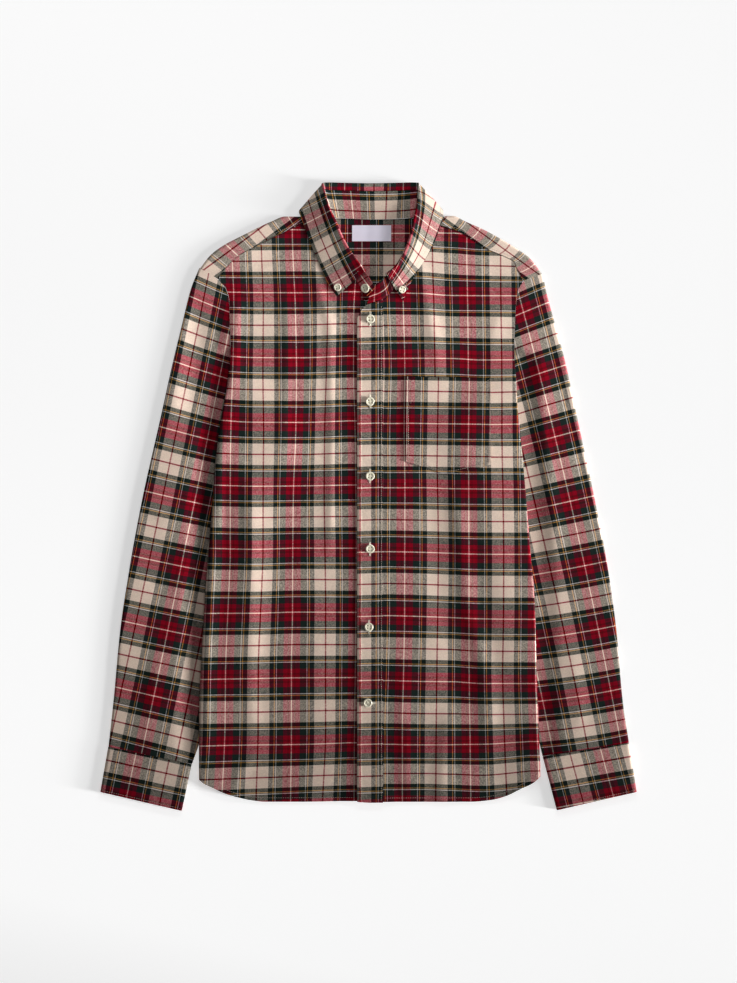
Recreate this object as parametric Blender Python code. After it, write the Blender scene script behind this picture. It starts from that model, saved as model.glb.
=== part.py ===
"""Long-sleeved button-down oxford shirt, laid out flat with its front up.

+X runs to the viewer's right, +Y up to the collar and +Z off the surface that the shirt lies on.
The origin is the middle of the plan outline, at the level of that surface. Every sheet of cloth is a
grid of points on its middle surface, given a wall. The tables below are in millimetres; meshes are
made in metres.
"""
import math

import bpy
import numpy as np
from mathutils import Vector

MM = 0.001

# Cloth and seams
WALL = 1.3                  # wall of a body or sleeve panel
CUFF_WALL = 1.8             # a cuff is two layers with an interlining
SEAM_GAP = 0.5              # between two pieces that are sewn edge to edge
LAY_GAP = 0.35              # between a piece and what it lies on
HALF_WALL = WALL / 2

# How the layers lie
FLOOR_LAYER = HALF_WALL     # middle of a wall that rests on the surface
FRONT_LEVEL = 5.0           # middle of the fronts over the body
ARMHOLE_RISE = 0.75         # the fronts are this much higher at the armhole seam
ARMHOLE_REACH = 40.0        # and level out over this width
SIDE_RISE = 3.0             # the fronts are this much higher where they lie over a sleeve
SIDE_REACH = 60.0           # and level out over this width
SIDE_FOLD_RADIUS = 1.85     # side of a front, turned under
TURN_UNDER = 15.0           # width of the turned strip
SIDE_FOLD_TOP = 185.0       # the side starts to turn under below this height
SIDE_FOLD_FULL = 107.0      # and is flat under itself below this one
BACK_OVER_SLEEVE = 3.7      # the back rises this much over the hidden part of a sleeve
BACK_RISE_MARGIN = 8.0      # it starts down this far past the sleeve
BACK_RISE_REACH = 30.0      # and is flat on the surface after this width
SLEEVE_PRESSED = 3.4        # thickness of a sleeve where the body lies on it
SLEEVE_LOFT = 6.4           # and where it lies open
LOFT_REACH = 18.0           # the sleeve gets from one to the other over this width
PRESSED_MARGIN = 8.0        # the body's edge presses the sleeve this far outside itself
REACH_MARGIN = 25.0         # the back is raised this far above a sleeve's hidden end
CUFF_LOFT = 7.0             # thickness of a cuff, both sides
UNDERLAP_DROP = 1.8         # the button side lies lower under the placket
UNDERLAP_START = -46.0      # x where it starts down
UNDERLAP_REACH = 24.0       # and the width that it takes
UNDERLAP_TOP = 275.0        # it reaches the full drop below this height
HEM_BOTTOM = -391.0
HEM_EASE = 60.0             # the hem's curve fades out over this height
HEM_DROP = 0.8              # share of its height that a front loses at the hem
HEM_DROP_REACH = 25.0
BACK_HEM_SHORT = 3.0        # the back's hem hides behind the fronts' hem
YOKE_SEAM_Y = 251.5         # seam between the back and the yoke

# Columns: y, x of the left front's outer edge (hem, side, armhole, yoke seam).
LEFT_OUTER = (
    (-361.5, -217.0), (-311.5, -217.0), (-260.5, -216.5), (-196.5, -213.0), (-132.5, -209.5),
    (-68.5, -204.5), (-4.5, -199.5), (53.0, -195.0), (107.0, -187.5), (150.5, -179.0),
    (185.0, -176.5), (222.0, -177.5), (251.5, -178.5), (267.0, -183.0), (278.0, -192.0),
    (284.0, -189.0), (295.0, -180.0), (308.0, -166.0), (322.0, -140.0), (336.0, -112.0),
    (347.5, -85.0), (352.5, -64.5),
)
# Columns: y, x of the right front's outer edge.
RIGHT_OUTER = (
    (-358.0, 220.0), (-311.5, 218.5), (-260.5, 216.5), (-196.5, 214.5), (-132.5, 212.5),
    (-68.5, 207.0), (-4.5, 202.0), (53.0, 197.0), (107.0, 191.5), (150.5, 188.0),
    (185.0, 186.5), (222.0, 187.5), (251.5, 189.5), (264.5, 192.0), (274.5, 197.0),
    (290.0, 190.0), (300.0, 186.0), (306.5, 174.5), (315.5, 153.0), (328.5, 131.0),
    (340.0, 112.0), (345.0, 93.0), (351.5, 75.0),
)
# Columns: x, y of the hem, from the left side fold to the right one.
HEM = (
    (-217.0, -361.5), (-212.0, -366.5), (-202.0, -371.5), (-182.5, -380.5), (-166.0, -385.5),
    (-150.5, -389.0), (-132.5, -391.0), (-87.5, -391.0), (-17.5, -390.0), (2.0, -391.0),
    (131.0, -391.0), (158.0, -388.5), (176.0, -383.5), (194.0, -374.5), (212.0, -365.5),
    (220.0, -358.0),
)
# Columns: outer x, outer y, inner x, inner y of a line across the sleeve, shoulder to cuff.
LEFT_SLEEVE = (
    (-216.5, 293.0, -123.5, 72.5), (-227.0, 267.0, -126.0, 57.0), (-237.5, 226.0, -130.0, 39.0),
    (-250.0, 174.5, -136.5, 14.5), (-267.0, 98.0, -148.0, -30.0), (-290.0, -4.5, -164.5, -89.0),
    (-306.5, -94.0, -180.0, -160.5), (-318.0, -171.0, -192.5, -219.5),
    (-326.5, -260.5, -207.5, -288.5), (-333.0, -320.0, -226.0, -342.5),
)
RIGHT_SLEEVE = (
    (223.0, 285.5, 132.5, 72.5), (228.5, 259.0, 135.0, 57.0), (237.5, 226.0, 139.0, 39.0),
    (251.5, 174.5, 145.5, 14.5), (268.0, 98.0, 157.0, -30.0), (290.0, -4.5, 172.0, -89.0),
    (307.0, -94.0, 187.5, -160.5), (317.5, -171.0, 199.0, -219.5),
    (325.5, -260.5, 212.5, -288.5), (333.5, -315.0, 223.0, -332.5),
)
# Columns: x, y along the armhole seam, from the fold at the shoulder to the hidden underarm.
LEFT_ARMHOLE = (
    (-216.5, 293.0), (-194.0, 279.0), (-183.0, 267.0), (-178.5, 251.5), (-177.5, 222.0),
    (-176.5, 185.0), (-176.0, 159.5), (-167.0, 126.0), (-149.0, 98.0), (-123.5, 72.5),
)
RIGHT_ARMHOLE = (
    (223.0, 285.5), (197.0, 274.5), (192.0, 264.5), (189.5, 251.5), (187.5, 222.0),
    (186.5, 185.0), (186.0, 159.5), (176.0, 126.0), (158.0, 98.0), (132.5, 72.5),
)
# Columns: outer x, outer y, inner x, inner y, from the cuff seam to the cuff's edge.
LEFT_CUFF = ((-333.4, -320.5, -226.4, -343.0), (-343.5, -378.0, -239.0, -402.3))
RIGHT_CUFF = ((333.5, -315.5, 223.0, -333.0), (343.5, -378.0, 241.0, -401.5))

# Columns: back seam x, front seam x, y, shoulder fold x, y, turn of the fold in degrees.
# At the neck the yoke ends in the collar seam, part way round the fold or before it.
YOKE = (
    (-158.0, -194.0, 279.5, -215.5, 292.5, 180.0), (-148.0, -180.0, 295.7, -203.0, 308.5, 180.0),
    (-140.0, -166.0, 308.7, -187.5, 320.5, 180.0), (-126.0, -140.0, 322.8, -158.0, 336.0, 180.0),
    (-108.0, -112.0, 336.8, -126.0, 351.5, 180.0), (-97.0, -98.0, 342.8, -107.0, 358.6, 180.0),
    (-86.0, -84.0, 348.4, -90.0, 358.4, 180.0), (-70.0, -64.5, 353.2, -68.0, 358.4, 180.0),
    (-54.0, -49.0, 357.3, -49.0, 357.3, 120.0),
    (-46.0, -44.0, 357.6, -44.0, 357.6, 60.0), (-36.0, -36.0, 356.6, -36.0, 356.6, 30.0),
    (-21.0, -21.0, 356.0, -21.0, 356.0, 25.0), (5.0, 5.0, 355.0, 5.0, 355.0, 25.0),
    (34.0, 34.0, 355.5, 34.0, 355.5, 25.0), (50.0, 50.0, 356.6, 50.0, 356.6, 30.0),
    (60.0, 57.0, 357.6, 57.0, 357.6, 60.0), (68.0, 62.0, 357.0, 62.0, 357.0, 120.0),
    (80.0, 75.0, 352.3, 77.0, 358.4, 180.0), (92.0, 88.0, 348.3, 94.0, 358.6, 180.0),
    (104.0, 101.0, 344.4, 108.0, 359.4, 180.0), (118.0, 114.0, 340.0, 125.0, 351.8, 180.0),
    (134.0, 131.0, 329.4, 144.0, 343.5, 180.0), (150.0, 153.0, 316.4, 172.0, 328.5, 180.0),
    (164.0, 174.5, 307.4, 196.5, 313.0, 180.0), (170.0, 186.0, 301.0, 206.5, 305.5, 180.0),
    (174.0, 190.8, 290.5, 215.0, 295.0, 180.0), (177.0, 197.5, 275.7, 222.0, 285.0, 180.0),
)

# Columns: stand seam x, y, z; top fold x, y, z; leaf edge x, y, z. A leaf edge z of 0 means that
# the edge lies on the front below it. From the viewer's left end round the back to the right end.
COLLAR = (
    (-1.5, 256.5, 10.2, 9.0, 267.0, 13.8, -40.5, 256.0, 0.0),
    (-9.5, 267.5, 8.4, 3.0, 278.0, 14.2, -40.5, 256.0, 0.0),
    (-19.0, 282.0, 7.0, -4.0, 287.5, 15.0, -40.5, 256.0, 0.0),
    (-30.0, 304.0, 6.8, -16.0, 302.5, 16.0, -51.0, 271.0, 0.0),
    (-41.5, 324.5, 6.8, -32.5, 328.5, 16.5, -63.5, 299.5, 0.0),
    (-48.5, 341.0, 6.8, -42.0, 351.5, 15.5, -72.5, 320.0, 0.0),
    (-50.5, 351.5, 6.8, -48.5, 365.5, 14.0, -80.5, 342.0, 0.0),
    (-49.0, 356.0, 6.2, -54.0, 383.5, 12.0, -86.0, 356.0, 0.0),
    (-46.0, 358.0, 4.6, -58.0, 400.5, 9.6, -89.0, 364.8, 6.2),
    (-40.5, 357.0, 3.0, -49.5, 401.5, 7.4, -78.5, 370.0, 1.4),
    (-21.0, 356.0, 2.4, -26.0, 401.0, 6.8, -36.5, 370.5, 0.65),
    (4.5, 355.0, 2.4, 3.0, 400.5, 6.8, 3.0, 370.5, 0.65),
    (30.0, 355.5, 2.4, 32.5, 401.0, 6.8, 40.5, 370.5, 0.65),
    (53.0, 357.0, 3.0, 54.0, 401.5, 7.4, 84.0, 370.5, 1.4),
    (59.0, 358.0, 4.6, 63.5, 400.5, 9.6, 95.5, 365.2, 6.2),
    (62.5, 356.0, 6.2, 62.5, 383.5, 12.0, 95.5, 356.5, 0.0),
    (63.5, 349.0, 6.8, 59.0, 360.5, 14.0, 92.0, 347.5, 0.0),
    (59.5, 333.5, 6.8, 55.5, 342.5, 15.5, 87.0, 332.0, 0.0),
    (54.5, 317.0, 6.8, 50.5, 324.0, 16.5, 80.0, 316.0, 0.0),
    (47.5, 300.0, 6.8, 43.0, 306.5, 16.0, 69.0, 297.5, 0.0),
    (40.5, 282.0, 6.8, 35.0, 294.0, 15.0, 55.5, 276.5, 0.0),
    (29.0, 262.0, 6.8, 22.0, 283.5, 13.5, 44.5, 250.0, 0.0),
    (16.0, 252.0, 6.8, 13.5, 276.0, 10.8, 44.5, 250.0, 0.0),
    (-1.5, 246.5, 6.8, 4.5, 270.5, 8.2, 44.5, 250.0, 0.0),
)
COLLAR_EDGE_Z = 8           # column of the leaf edge's height
LEAF_FIRST_ROW = 2          # the stand runs on past the leaf's front edge at both ends
LEAF_LAST_ROW = 21
STAND_SHARE_BACK = 0.78     # of the way from the stand seam to the top fold, at the centre back
STAND_SHARE_FRONT = 0.93    # and at the ends
LEAF_FOLD_RADIUS = 1.6
LEAF_BOW = 3.0              # the leaf bows off the line from its fold to its edge
LEAF_LIFT = 0.5             # the leaf's edge stands this much off the front
LEAF_OFF_YOKE = 356.0       # above this height the edge is past the shoulder and drops

# Columns: x, y of the placket's top edge; its sides run straight down from the ends.
PLACKET_TOP = ((-14.5, 228.0), (-13.0, 231.0), (-10.0, 237.0), (-2.0, 245.0), (8.0, 248.0),
               (18.5, 251.0))
PLACKET_OVERHANG = 0.8      # the placket's edge lies this far outside the front's under it
UNDERLAP_EDGE = 15.0        # x of the button side's edge, hidden under the placket
NECK_INSET = 0.6            # the fronts end this far from the line of the stand's seam

# Columns: x, top y, bottom y of the pocket.
POCKET = ((49.0, 153.5, 45.5), (53.0, 153.4, 40.5), (76.0, 152.9, 34.8), (103.0, 152.3, 29.0),
          (127.0, 151.7, 34.6), (151.5, 151.1, 40.0), (156.0, 151.0, 46.0))
LABEL_CORNERS = (-21.0, 327.0, 29.0, 347.5)
LABEL_THICK = 0.6

BUTTON_DIAMETER = 11.4
POINT_BUTTON_DIAMETER = 9.4
# Columns: name, x, y, diameter, what the button lies on.
BUTTONS = (
    ("button_stand", -4.0, 266.0, BUTTON_DIAMETER, "stand"),
    ("button_point_left", -39.5, 267.5, POINT_BUTTON_DIAMETER, "leaf"),
    ("button_point_right", 43.0, 264.5, POINT_BUTTON_DIAMETER, "leaf"),
    ("button_front_1", 2.5, 227.0, BUTTON_DIAMETER, "placket"),
    ("button_front_2", 2.0, 121.5, BUTTON_DIAMETER, "placket"),
    ("button_front_3", 2.0, 26.0, BUTTON_DIAMETER, "placket"),
    ("button_front_4", 2.0, -67.0, BUTTON_DIAMETER, "placket"),
    ("button_front_5", 0.5, -167.0, BUTTON_DIAMETER, "placket"),
    ("button_front_6", -1.0, -264.0, BUTTON_DIAMETER, "placket"),
)
# Columns: share of the radius, height. From the sunk middle over the rim to the flat underside.
BUTTON_PROFILE = ((0.56, 1.5), (0.72, 2.3), (0.90, 2.3), (1.0, 1.2), (0.7, 0.0))
BUTTON_HOLE_RADIUS = 0.8
BUTTON_HOLE_SPACING = 1.4   # from the button's centre along both axes

# Materials: colour, roughness
PLAID = ((0.30, 0.05, 0.06), 0.85)
IVORY = ((0.83, 0.79, 0.68), 0.35)
LABEL_WHITE = ((0.85, 0.84, 0.88), 0.7)


def smooth(value):
    """Ease from 0 to 1, flat at both ends."""
    value = np.clip(value, 0.0, 1.0)
    return value * value * (3.0 - 2.0 * value)


def through(table, where):
    """Cubic through a table's rows that never overshoots them.

    The first column is the place along the curve; the rest are returned at each place in where.
    """
    rows = np.asarray(table, float)
    place, values = rows[:, 0], rows[:, 1:]
    step = np.diff(place)[:, None]
    slope = np.diff(values, axis=0) / step
    before, after = slope[:-1], slope[1:]
    same_way = before * after > 0
    safe_before = np.where(same_way, before, 1.0)
    safe_after = np.where(same_way, after, 1.0)
    weight_before = 2 * step[1:] + step[:-1]
    weight_after = step[1:] + 2 * step[:-1]
    mean = (weight_before + weight_after) / (weight_before / safe_before + weight_after / safe_after)
    tangent = np.vstack([slope[:1], np.where(same_way, mean, 0.0), slope[-1:]])
    where = np.clip(np.asarray(where, float), place[0], place[-1])
    row = np.clip(np.searchsorted(place, where, side="right") - 1, 0, len(place) - 2)
    t = ((where - place[row]) / step[row, 0])[..., None]
    return ((1 + 2 * t) * (1 - t) ** 2 * values[row] + t * (1 - t) ** 2 * step[row] * tangent[row]
            + t * t * (3 - 2 * t) * values[row + 1] + t * t * (t - 1) * step[row] * tangent[row + 1])


def along(points, share):
    """Points at the given shares of the length of a curve through a list of points."""
    points = np.asarray(points, float)
    run = np.concatenate([[0.0], np.cumsum(np.linalg.norm(np.diff(points, axis=0), axis=1))])
    return through(np.column_stack([run / run[-1], points]), share)


def table_x(table, y):
    """x of an outer edge at each height y."""
    return through(table, y)[..., 0]


# ---------------------------------------------------------------- heights of the layers

class Side:
    """One side of the shirt: -1 is the viewer's left, +1 the viewer's right."""

    def __init__(self, sign, outer, sleeve, armhole, cuff):
        self.sign = sign
        self.outer = outer
        self.sleeve = sleeve
        self.armhole = armhole
        self.cuff = cuff
        hidden = [(y, x) for x, y in armhole if y < SIDE_FOLD_TOP + 1]
        hidden += [(y, x) for _, _, x, y in sleeve[1:]]
        self.reach = tuple(sorted(hidden))

    def inside(self, x, y):
        """Distance of a point from the body's outer edge, towards the middle."""
        return self.sign * (table_x(self.outer, y) - x)

    def hidden_width(self, y):
        """How far the sleeve reaches in under the body at height y or a little below."""
        here = self.inside(through(self.reach, y)[..., 0], y)
        below = self.inside(through(self.reach, y - REACH_MARGIN)[..., 0], y)
        return np.maximum(np.maximum(here, below), 0.0)

    def turned(self, y):
        """Share of the side's turn under: 0 at the armhole, 1 lower down."""
        return smooth((SIDE_FOLD_TOP - y) / (SIDE_FOLD_TOP - SIDE_FOLD_FULL))

    def back_height(self, x, y):
        """Rise of the back's wall over the hidden part of the sleeve."""
        past = self.inside(x, y) - self.hidden_width(y)
        near = smooth(1.0 - (past - BACK_RISE_MARGIN) / BACK_RISE_REACH)
        return BACK_OVER_SLEEVE * near * smooth((SIDE_FOLD_TOP - y) / 30.0)

    def front_height(self, x, y):
        """Rise of the front's wall over its level in the middle of the body."""
        inside = self.inside(x, y)
        past = np.maximum(inside - self.hidden_width(y), 0.0)
        turned = self.turned(y)
        armhole = ARMHOLE_RISE * (1.0 - turned) * smooth(1.0 - inside / ARMHOLE_REACH)
        return armhole + SIDE_RISE * turned * smooth(1.0 - past / SIDE_REACH)

    def sleeve_thickness(self, x, y):
        """Thickness of the sleeve, both layers, at a point."""
        open_shift = (LOFT_REACH + PRESSED_MARGIN) * smooth((y - 175.0) / 25.0)
        outside = open_shift - self.inside(x, y) - PRESSED_MARGIN
        return SLEEVE_PRESSED + (SLEEVE_LOFT - SLEEVE_PRESSED) * smooth(outside / LOFT_REACH)


LEFT = Side(-1.0, LEFT_OUTER, LEFT_SLEEVE, LEFT_ARMHOLE, LEFT_CUFF)
RIGHT = Side(1.0, RIGHT_OUTER, RIGHT_SLEEVE, RIGHT_ARMHOLE, RIGHT_CUFF)


def hem_y(x):
    """Height of the hem at x."""
    return through(HEM, x)[..., 0]


def hem_ease(level, x, short=0.0):
    """Height of a row's point at x: the lowest row follows the hem, the rows above it less and less."""
    fade = np.clip(1.0 - (level - HEM_BOTTOM) / HEM_EASE, 0.0, 1.0)
    return level + (hem_y(x) + short - HEM_BOTTOM) * fade


def front_z(side, x, y):
    """Middle surface of a front: at its level, lower under the placket and down at the open hem."""
    height = FRONT_LEVEL + side.front_height(x, y)
    if side is LEFT:
        lapped = smooth((x - UNDERLAP_START) / UNDERLAP_REACH)
        height = height - UNDERLAP_DROP * lapped * smooth((UNDERLAP_TOP - y) / 15.0)
    lowest = FLOOR_LAYER + WALL + LAY_GAP
    near_hem = smooth(1.0 - (y - hem_y(x)) / HEM_DROP_REACH)
    off_side = smooth((side.inside(x, y) - 25.0) / SIDE_REACH)
    off_placket = smooth((np.abs(x - 2.0) - 20.0) / 20.0)
    return height - HEM_DROP * (height - lowest) * near_hem * off_side * off_placket


# ---------------------------------------------------------------- meshes

def normals(grid, closed):
    """Unit normals of a grid of points; closed grids wrap round in their second direction."""
    if closed:
        wrapped = np.concatenate([grid[:, -1:], grid, grid[:, :1]], axis=1)
        across = wrapped[:, 2:] - wrapped[:, :-2]
    else:
        across = np.gradient(grid, axis=1)
    up = np.gradient(grid, axis=0)
    normal = np.cross(across, up)
    return normal / np.linalg.norm(normal, axis=2, keepdims=True)


def sheet(name, grid, wall, material, closed=False):
    """Closed solid of a sheet of cloth: its middle surface moved out and in by half its wall.

    grid holds rows of points (rows, columns, 3); its normal, columns cross rows, points out.
    A closed sheet is a tube that is open at both ends.
    """
    rows, columns = grid.shape[:2]
    offset = normals(grid, closed) * wall / 2
    points = np.concatenate([(grid + offset).reshape(-1, 3), (grid - offset).reshape(-1, 3)])
    index = np.arange(rows * columns).reshape(rows, columns)
    if closed:
        index = np.concatenate([index, index[:, :1]], axis=1)
    outer = np.stack([index[:-1, :-1], index[:-1, 1:], index[1:, 1:], index[1:, :-1]], -1)
    outer = outer.reshape(-1, 4)
    inner = outer[:, ::-1] + rows * columns
    edges = [index[0, ::-1], index[-1, :]]
    if not closed:
        edges += [index[:, 0], index[::-1, -1]]
    rims = []
    for edge in edges:
        first, second = edge[:-1], edge[1:]
        rims.append(np.stack([first, second, second + rows * columns, first + rows * columns], -1))
    faces = np.concatenate([outer, inner] + rims)
    return add_object(name, points, faces, material)


def add_object(name, points, faces, material):
    """Add a mesh object from points in millimetres."""
    mesh = bpy.data.meshes.new(name)
    mesh.from_pydata((points * MM).tolist(), [], faces.tolist())
    mesh.validate()
    mesh.shade_smooth()
    mesh.set_sharp_from_angle(angle=math.radians(40))
    mesh.materials.append(material)
    obj = bpy.data.objects.new(name, mesh)
    bpy.context.scene.collection.objects.link(obj)
    return obj


def plain_material(name, finish):
    """Principled material of one colour and roughness."""
    colour, roughness = finish
    material = bpy.data.materials.new(name)
    material.use_nodes = True
    shader = material.node_tree.nodes["Principled BSDF"]
    shader.inputs["Base Color"].default_value = (*colour, 1.0)
    shader.inputs["Roughness"].default_value = roughness
    shader.inputs["Metallic"].default_value = 0.0
    return material


def spread(low, high, count, bunch=1.0):
    """Evenly spread values, drawn towards high where bunch is over 1."""
    share = np.linspace(0.0, 1.0, count)
    return high - (high - low) * (1.0 - share) ** bunch


# ---------------------------------------------------------------- body

def neck_edge(side):
    """Columns y, x of a front's edge along the collar seam, and down its centre edge."""
    seam = np.array(COLLAR)[:, :2]
    if side is LEFT:
        neck = seam[1:7]
        centre = [(-10.0, 253.0), (UNDERLAP_EDGE - 6.0, 247.0), (UNDERLAP_EDGE, 238.0),
                  (UNDERLAP_EDGE, HEM_BOTTOM)]
        inset = -NECK_INSET
    else:
        neck = seam[16:]
        edge_x = PLACKET_TOP[0][0] + PLACKET_OVERHANG
        centre = [(-9.0, 237.0), (-12.3, 229.0), (edge_x, 220.0), (edge_x, HEM_BOTTOM)]
        inset = NECK_INSET
    points = [(y, x + inset) for x, y in neck] + [(y, x) for x, y in centre]
    return tuple(sorted(points))


def front_panel(name, side, top, material):
    """A front: across from its turned-under side to its centre edge, up from the hem to the yoke."""
    levels = np.concatenate([spread(HEM_BOTTOM, HEM_BOTTOM + HEM_EASE, 4)[:-1],
                             spread(HEM_BOTTOM + HEM_EASE, top, 24, 1.5)])
    inner_edge = neck_edge(side)
    out = side.sign
    radius = SIDE_FOLD_RADIUS
    grid = []
    for level in levels:
        edge_level = max(level, side.outer[0][0])
        turned = float(side.turned(edge_level))
        outer_x = float(table_x(side.outer, edge_level + SEAM_GAP / 2)) - out * SEAM_GAP * (1 - turned)
        centre_x = outer_x - out * (radius + HALF_WALL) * turned
        turn = math.pi * turned
        under = TURN_UNDER * float(smooth((turned - 0.9) / 0.1))
        inner_x = float(through(inner_edge, level)[..., 0])
        width = abs(inner_x - centre_x)
        folded = under + radius * turn
        fold_part = folded + min(8.0, width * 0.3) * (1.0 - turned) + 2.0 * turned
        run = np.concatenate([np.linspace(0.0, fold_part, 8)[:-1],
                              np.linspace(fold_part, folded + width, 9)])
        angle = np.clip(turn - (run - under) / radius, 0.0, turn)
        beyond = np.clip(run - folded, 0.0, None)
        x = centre_x + out * radius * np.sin(angle) - out * beyond
        x = x - out * np.clip(under - run, 0.0, None)
        y = hem_ease(level, np.clip(x, HEM[0][0], HEM[-1][0]))
        z = front_z(side, np.where(beyond > 0, x, centre_x), y) - radius * (1.0 - np.cos(angle))
        grid.append(np.column_stack([x, y, z]))
    grid = np.array(grid)
    if out > 0:
        grid = grid[:, ::-1]
    return sheet(name, grid, WALL, material)


def back_panel(material):
    """The back: flat on the surface, raised at its sides where it lies over the sleeves."""
    levels = np.concatenate([spread(HEM_BOTTOM, HEM_BOTTOM + HEM_EASE, 3)[:-1],
                             spread(HEM_BOTTOM + HEM_EASE, YOKE_SEAM_Y - SEAM_GAP, 17)])
    share = np.linspace(-1.0, 1.0, 17)
    share = np.sign(share) * np.abs(share) ** 0.75
    grid = []
    for level in levels:
        ends = []
        for side in (LEFT, RIGHT):
            edge_level = max(level, side.outer[0][0])
            strip = SIDE_FOLD_RADIUS + HALF_WALL + TURN_UNDER + SEAM_GAP
            inset = SEAM_GAP + (strip - SEAM_GAP) * float(smooth((SIDE_FOLD_TOP - edge_level) / 40.0))
            ends.append(float(table_x(side.outer, edge_level)) - side.sign * inset)
        x = ends[0] + (ends[1] - ends[0]) * (share + 1.0) / 2.0
        y = hem_ease(level, x, BACK_HEM_SHORT)
        z = FLOOR_LAYER + LEFT.back_height(x, y) + RIGHT.back_height(x, y)
        grid.append(np.column_stack([x, y, z]))
    return sheet("back", np.array(grid), WALL, material)


def yoke_panel(material):
    """The yoke: flat at the back, over both shoulders, and down to the front seams."""
    columns = through(np.column_stack([np.arange(len(YOKE)), YOKE]), np.linspace(0, len(YOKE) - 1, 35))
    grid = []
    for back_x, front_x, front_y, fold_x, fold_y, turn in columns:
        side = LEFT if front_x < 0 else RIGHT
        top = float(front_z(side, front_x, front_y))
        radius = (top - FLOOR_LAYER) / 2
        front, fold = np.array([front_x, front_y]), np.array([fold_x, fold_y])
        back = np.array([back_x, YOKE_SEAM_Y])
        turn = math.radians(turn)
        gap = np.linalg.norm(fold - front)
        out = (fold - front) / gap if gap > 0.5 else np.array([0.0, 1.0])
        reach = radius * math.sin(min(turn, math.pi / 2))
        centre = fold - out * (reach + (HALF_WALL if turn > 1.6 else 0.0))
        knee = front if np.dot(centre - front, out) > 0 else centre - out * 0.2
        to_knee, to_centre = np.linalg.norm(knee - back), np.linalg.norm(centre - knee)
        flat, arc = to_knee + to_centre, radius * turn
        over = max(float(np.dot(centre - front, out)), 0.0) * float(smooth((turn - 2.2) / 0.8))
        folded = max(arc + over, 12.0)
        run = np.concatenate([np.linspace(0.0, flat + arc + over - folded, 4)[:-1],
                              np.linspace(flat + arc + over - folded, flat + arc + over, 10)])
        angle = np.clip((run - flat) / radius, 0.0, turn)
        beyond = np.clip(run - flat - arc, 0.0, None)
        to_back = np.clip(run, 0.0, to_knee)[:, None]
        from_knee = np.clip(run - to_knee, 0.0, to_centre) + radius * np.sin(angle) - beyond
        plan = back + (knee - back) * to_back / to_knee + out * from_knee[:, None]
        z = FLOOR_LAYER + radius * (1.0 - np.cos(angle))
        grid.append(np.column_stack([plan, z]))
    return sheet("yoke", np.array(grid).transpose(1, 0, 2), WALL, material)


# ---------------------------------------------------------------- sleeves and cuffs

def flattened_tube(name, lines, wall, thickness, material, bend=None):
    """A tube pressed flat: for each line across it, a loop with a round fold at both ends.

    lines holds outer x, y and inner x, y for each section, thickness gives the height of both layers
    at a point, and bend moves a section's points off its straight line.
    """
    half = wall / 2
    grid = []
    for row, (outer_x, outer_y, inner_x, inner_y) in enumerate(lines):
        outer, inner = np.array([outer_x, outer_y]), np.array([inner_x, inner_y])
        length = np.linalg.norm(inner - outer)
        radius_out = (float(thickness(outer_x, outer_y)) - wall) / 2
        radius_in = (float(thickness(inner_x, inner_y)) - wall) / 2
        turn = np.linspace(0.0, math.pi, 6)
        start, end = half + radius_out, length - half - radius_in
        flat = np.linspace(start, end, 9)[1:-1]
        along_flat = (flat - start) / (end - start)
        outer_fold = np.column_stack([start - radius_out * np.sin(turn),
                                      half + radius_out * (1 + np.cos(turn))])
        inner_fold = np.column_stack([end + radius_in * np.sin(turn),
                                      half + radius_in * (1 - np.cos(turn))])
        under = np.column_stack([flat, np.full_like(flat, half)])
        top = np.column_stack([flat[::-1], along_flat[::-1]])
        loop = np.concatenate([outer_fold, under, inner_fold, top])
        share = loop[:, :1] / length
        plan = outer + (inner - outer) * share
        if bend is not None:
            plan = plan + bend(row, share[:, 0])
        over = slice(len(loop) - len(top), len(loop))
        loop[over, 1] = thickness(plan[over, 0], plan[over, 1]) - half
        grid.append(np.column_stack([plan, loop[:, 1]]))
    grid = np.array(grid)
    if lines[0][0] > lines[0][2]:
        grid = grid[:, ::-1]
    return sheet(name, grid[::-1], wall, material, closed=True)


def sleeve(name, side, material):
    """A sleeve: from the armhole seam to the cuff seam."""
    rows = 16
    bent_rows = 8
    place = np.linspace(0.0, 1.0, rows)
    lines = along(side.sleeve, place)
    chord = np.array(side.armhole[-1], float) - np.array(side.armhole[0], float)
    out = np.array([side.sign * SEAM_GAP, -0.15])

    def bend(row, share):
        """Bend the sections near the armhole to the seam's curve."""
        fade = max(0.0, 1.0 - row / bent_rows) ** 2
        straight = np.array(side.armhole[0]) + chord * share[:, None]
        return (along(side.armhole, share) - straight) * fade + out * max(0.0, 1.0 - row / 2)

    return flattened_tube(name, lines, WALL, side.sleeve_thickness, material, bend)


def cuff(name, side, material):
    """A cuff: a short tube of stiffer cloth at the sleeve's end."""
    lines = along(side.cuff, np.linspace(0.0, 1.0, 3))
    return flattened_tube(name, lines, CUFF_WALL, lambda x, y: CUFF_LOFT + 0.0 * x, material)


# ---------------------------------------------------------------- collar

def leaf_rest(x, y):
    """Middle of the leaf's wall where its edge lies on the shirt."""
    side = LEFT if x < 0 else RIGHT
    return float(front_z(side, x, min(y, 352.0))) + WALL + LAY_GAP + LEAF_LIFT


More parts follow.
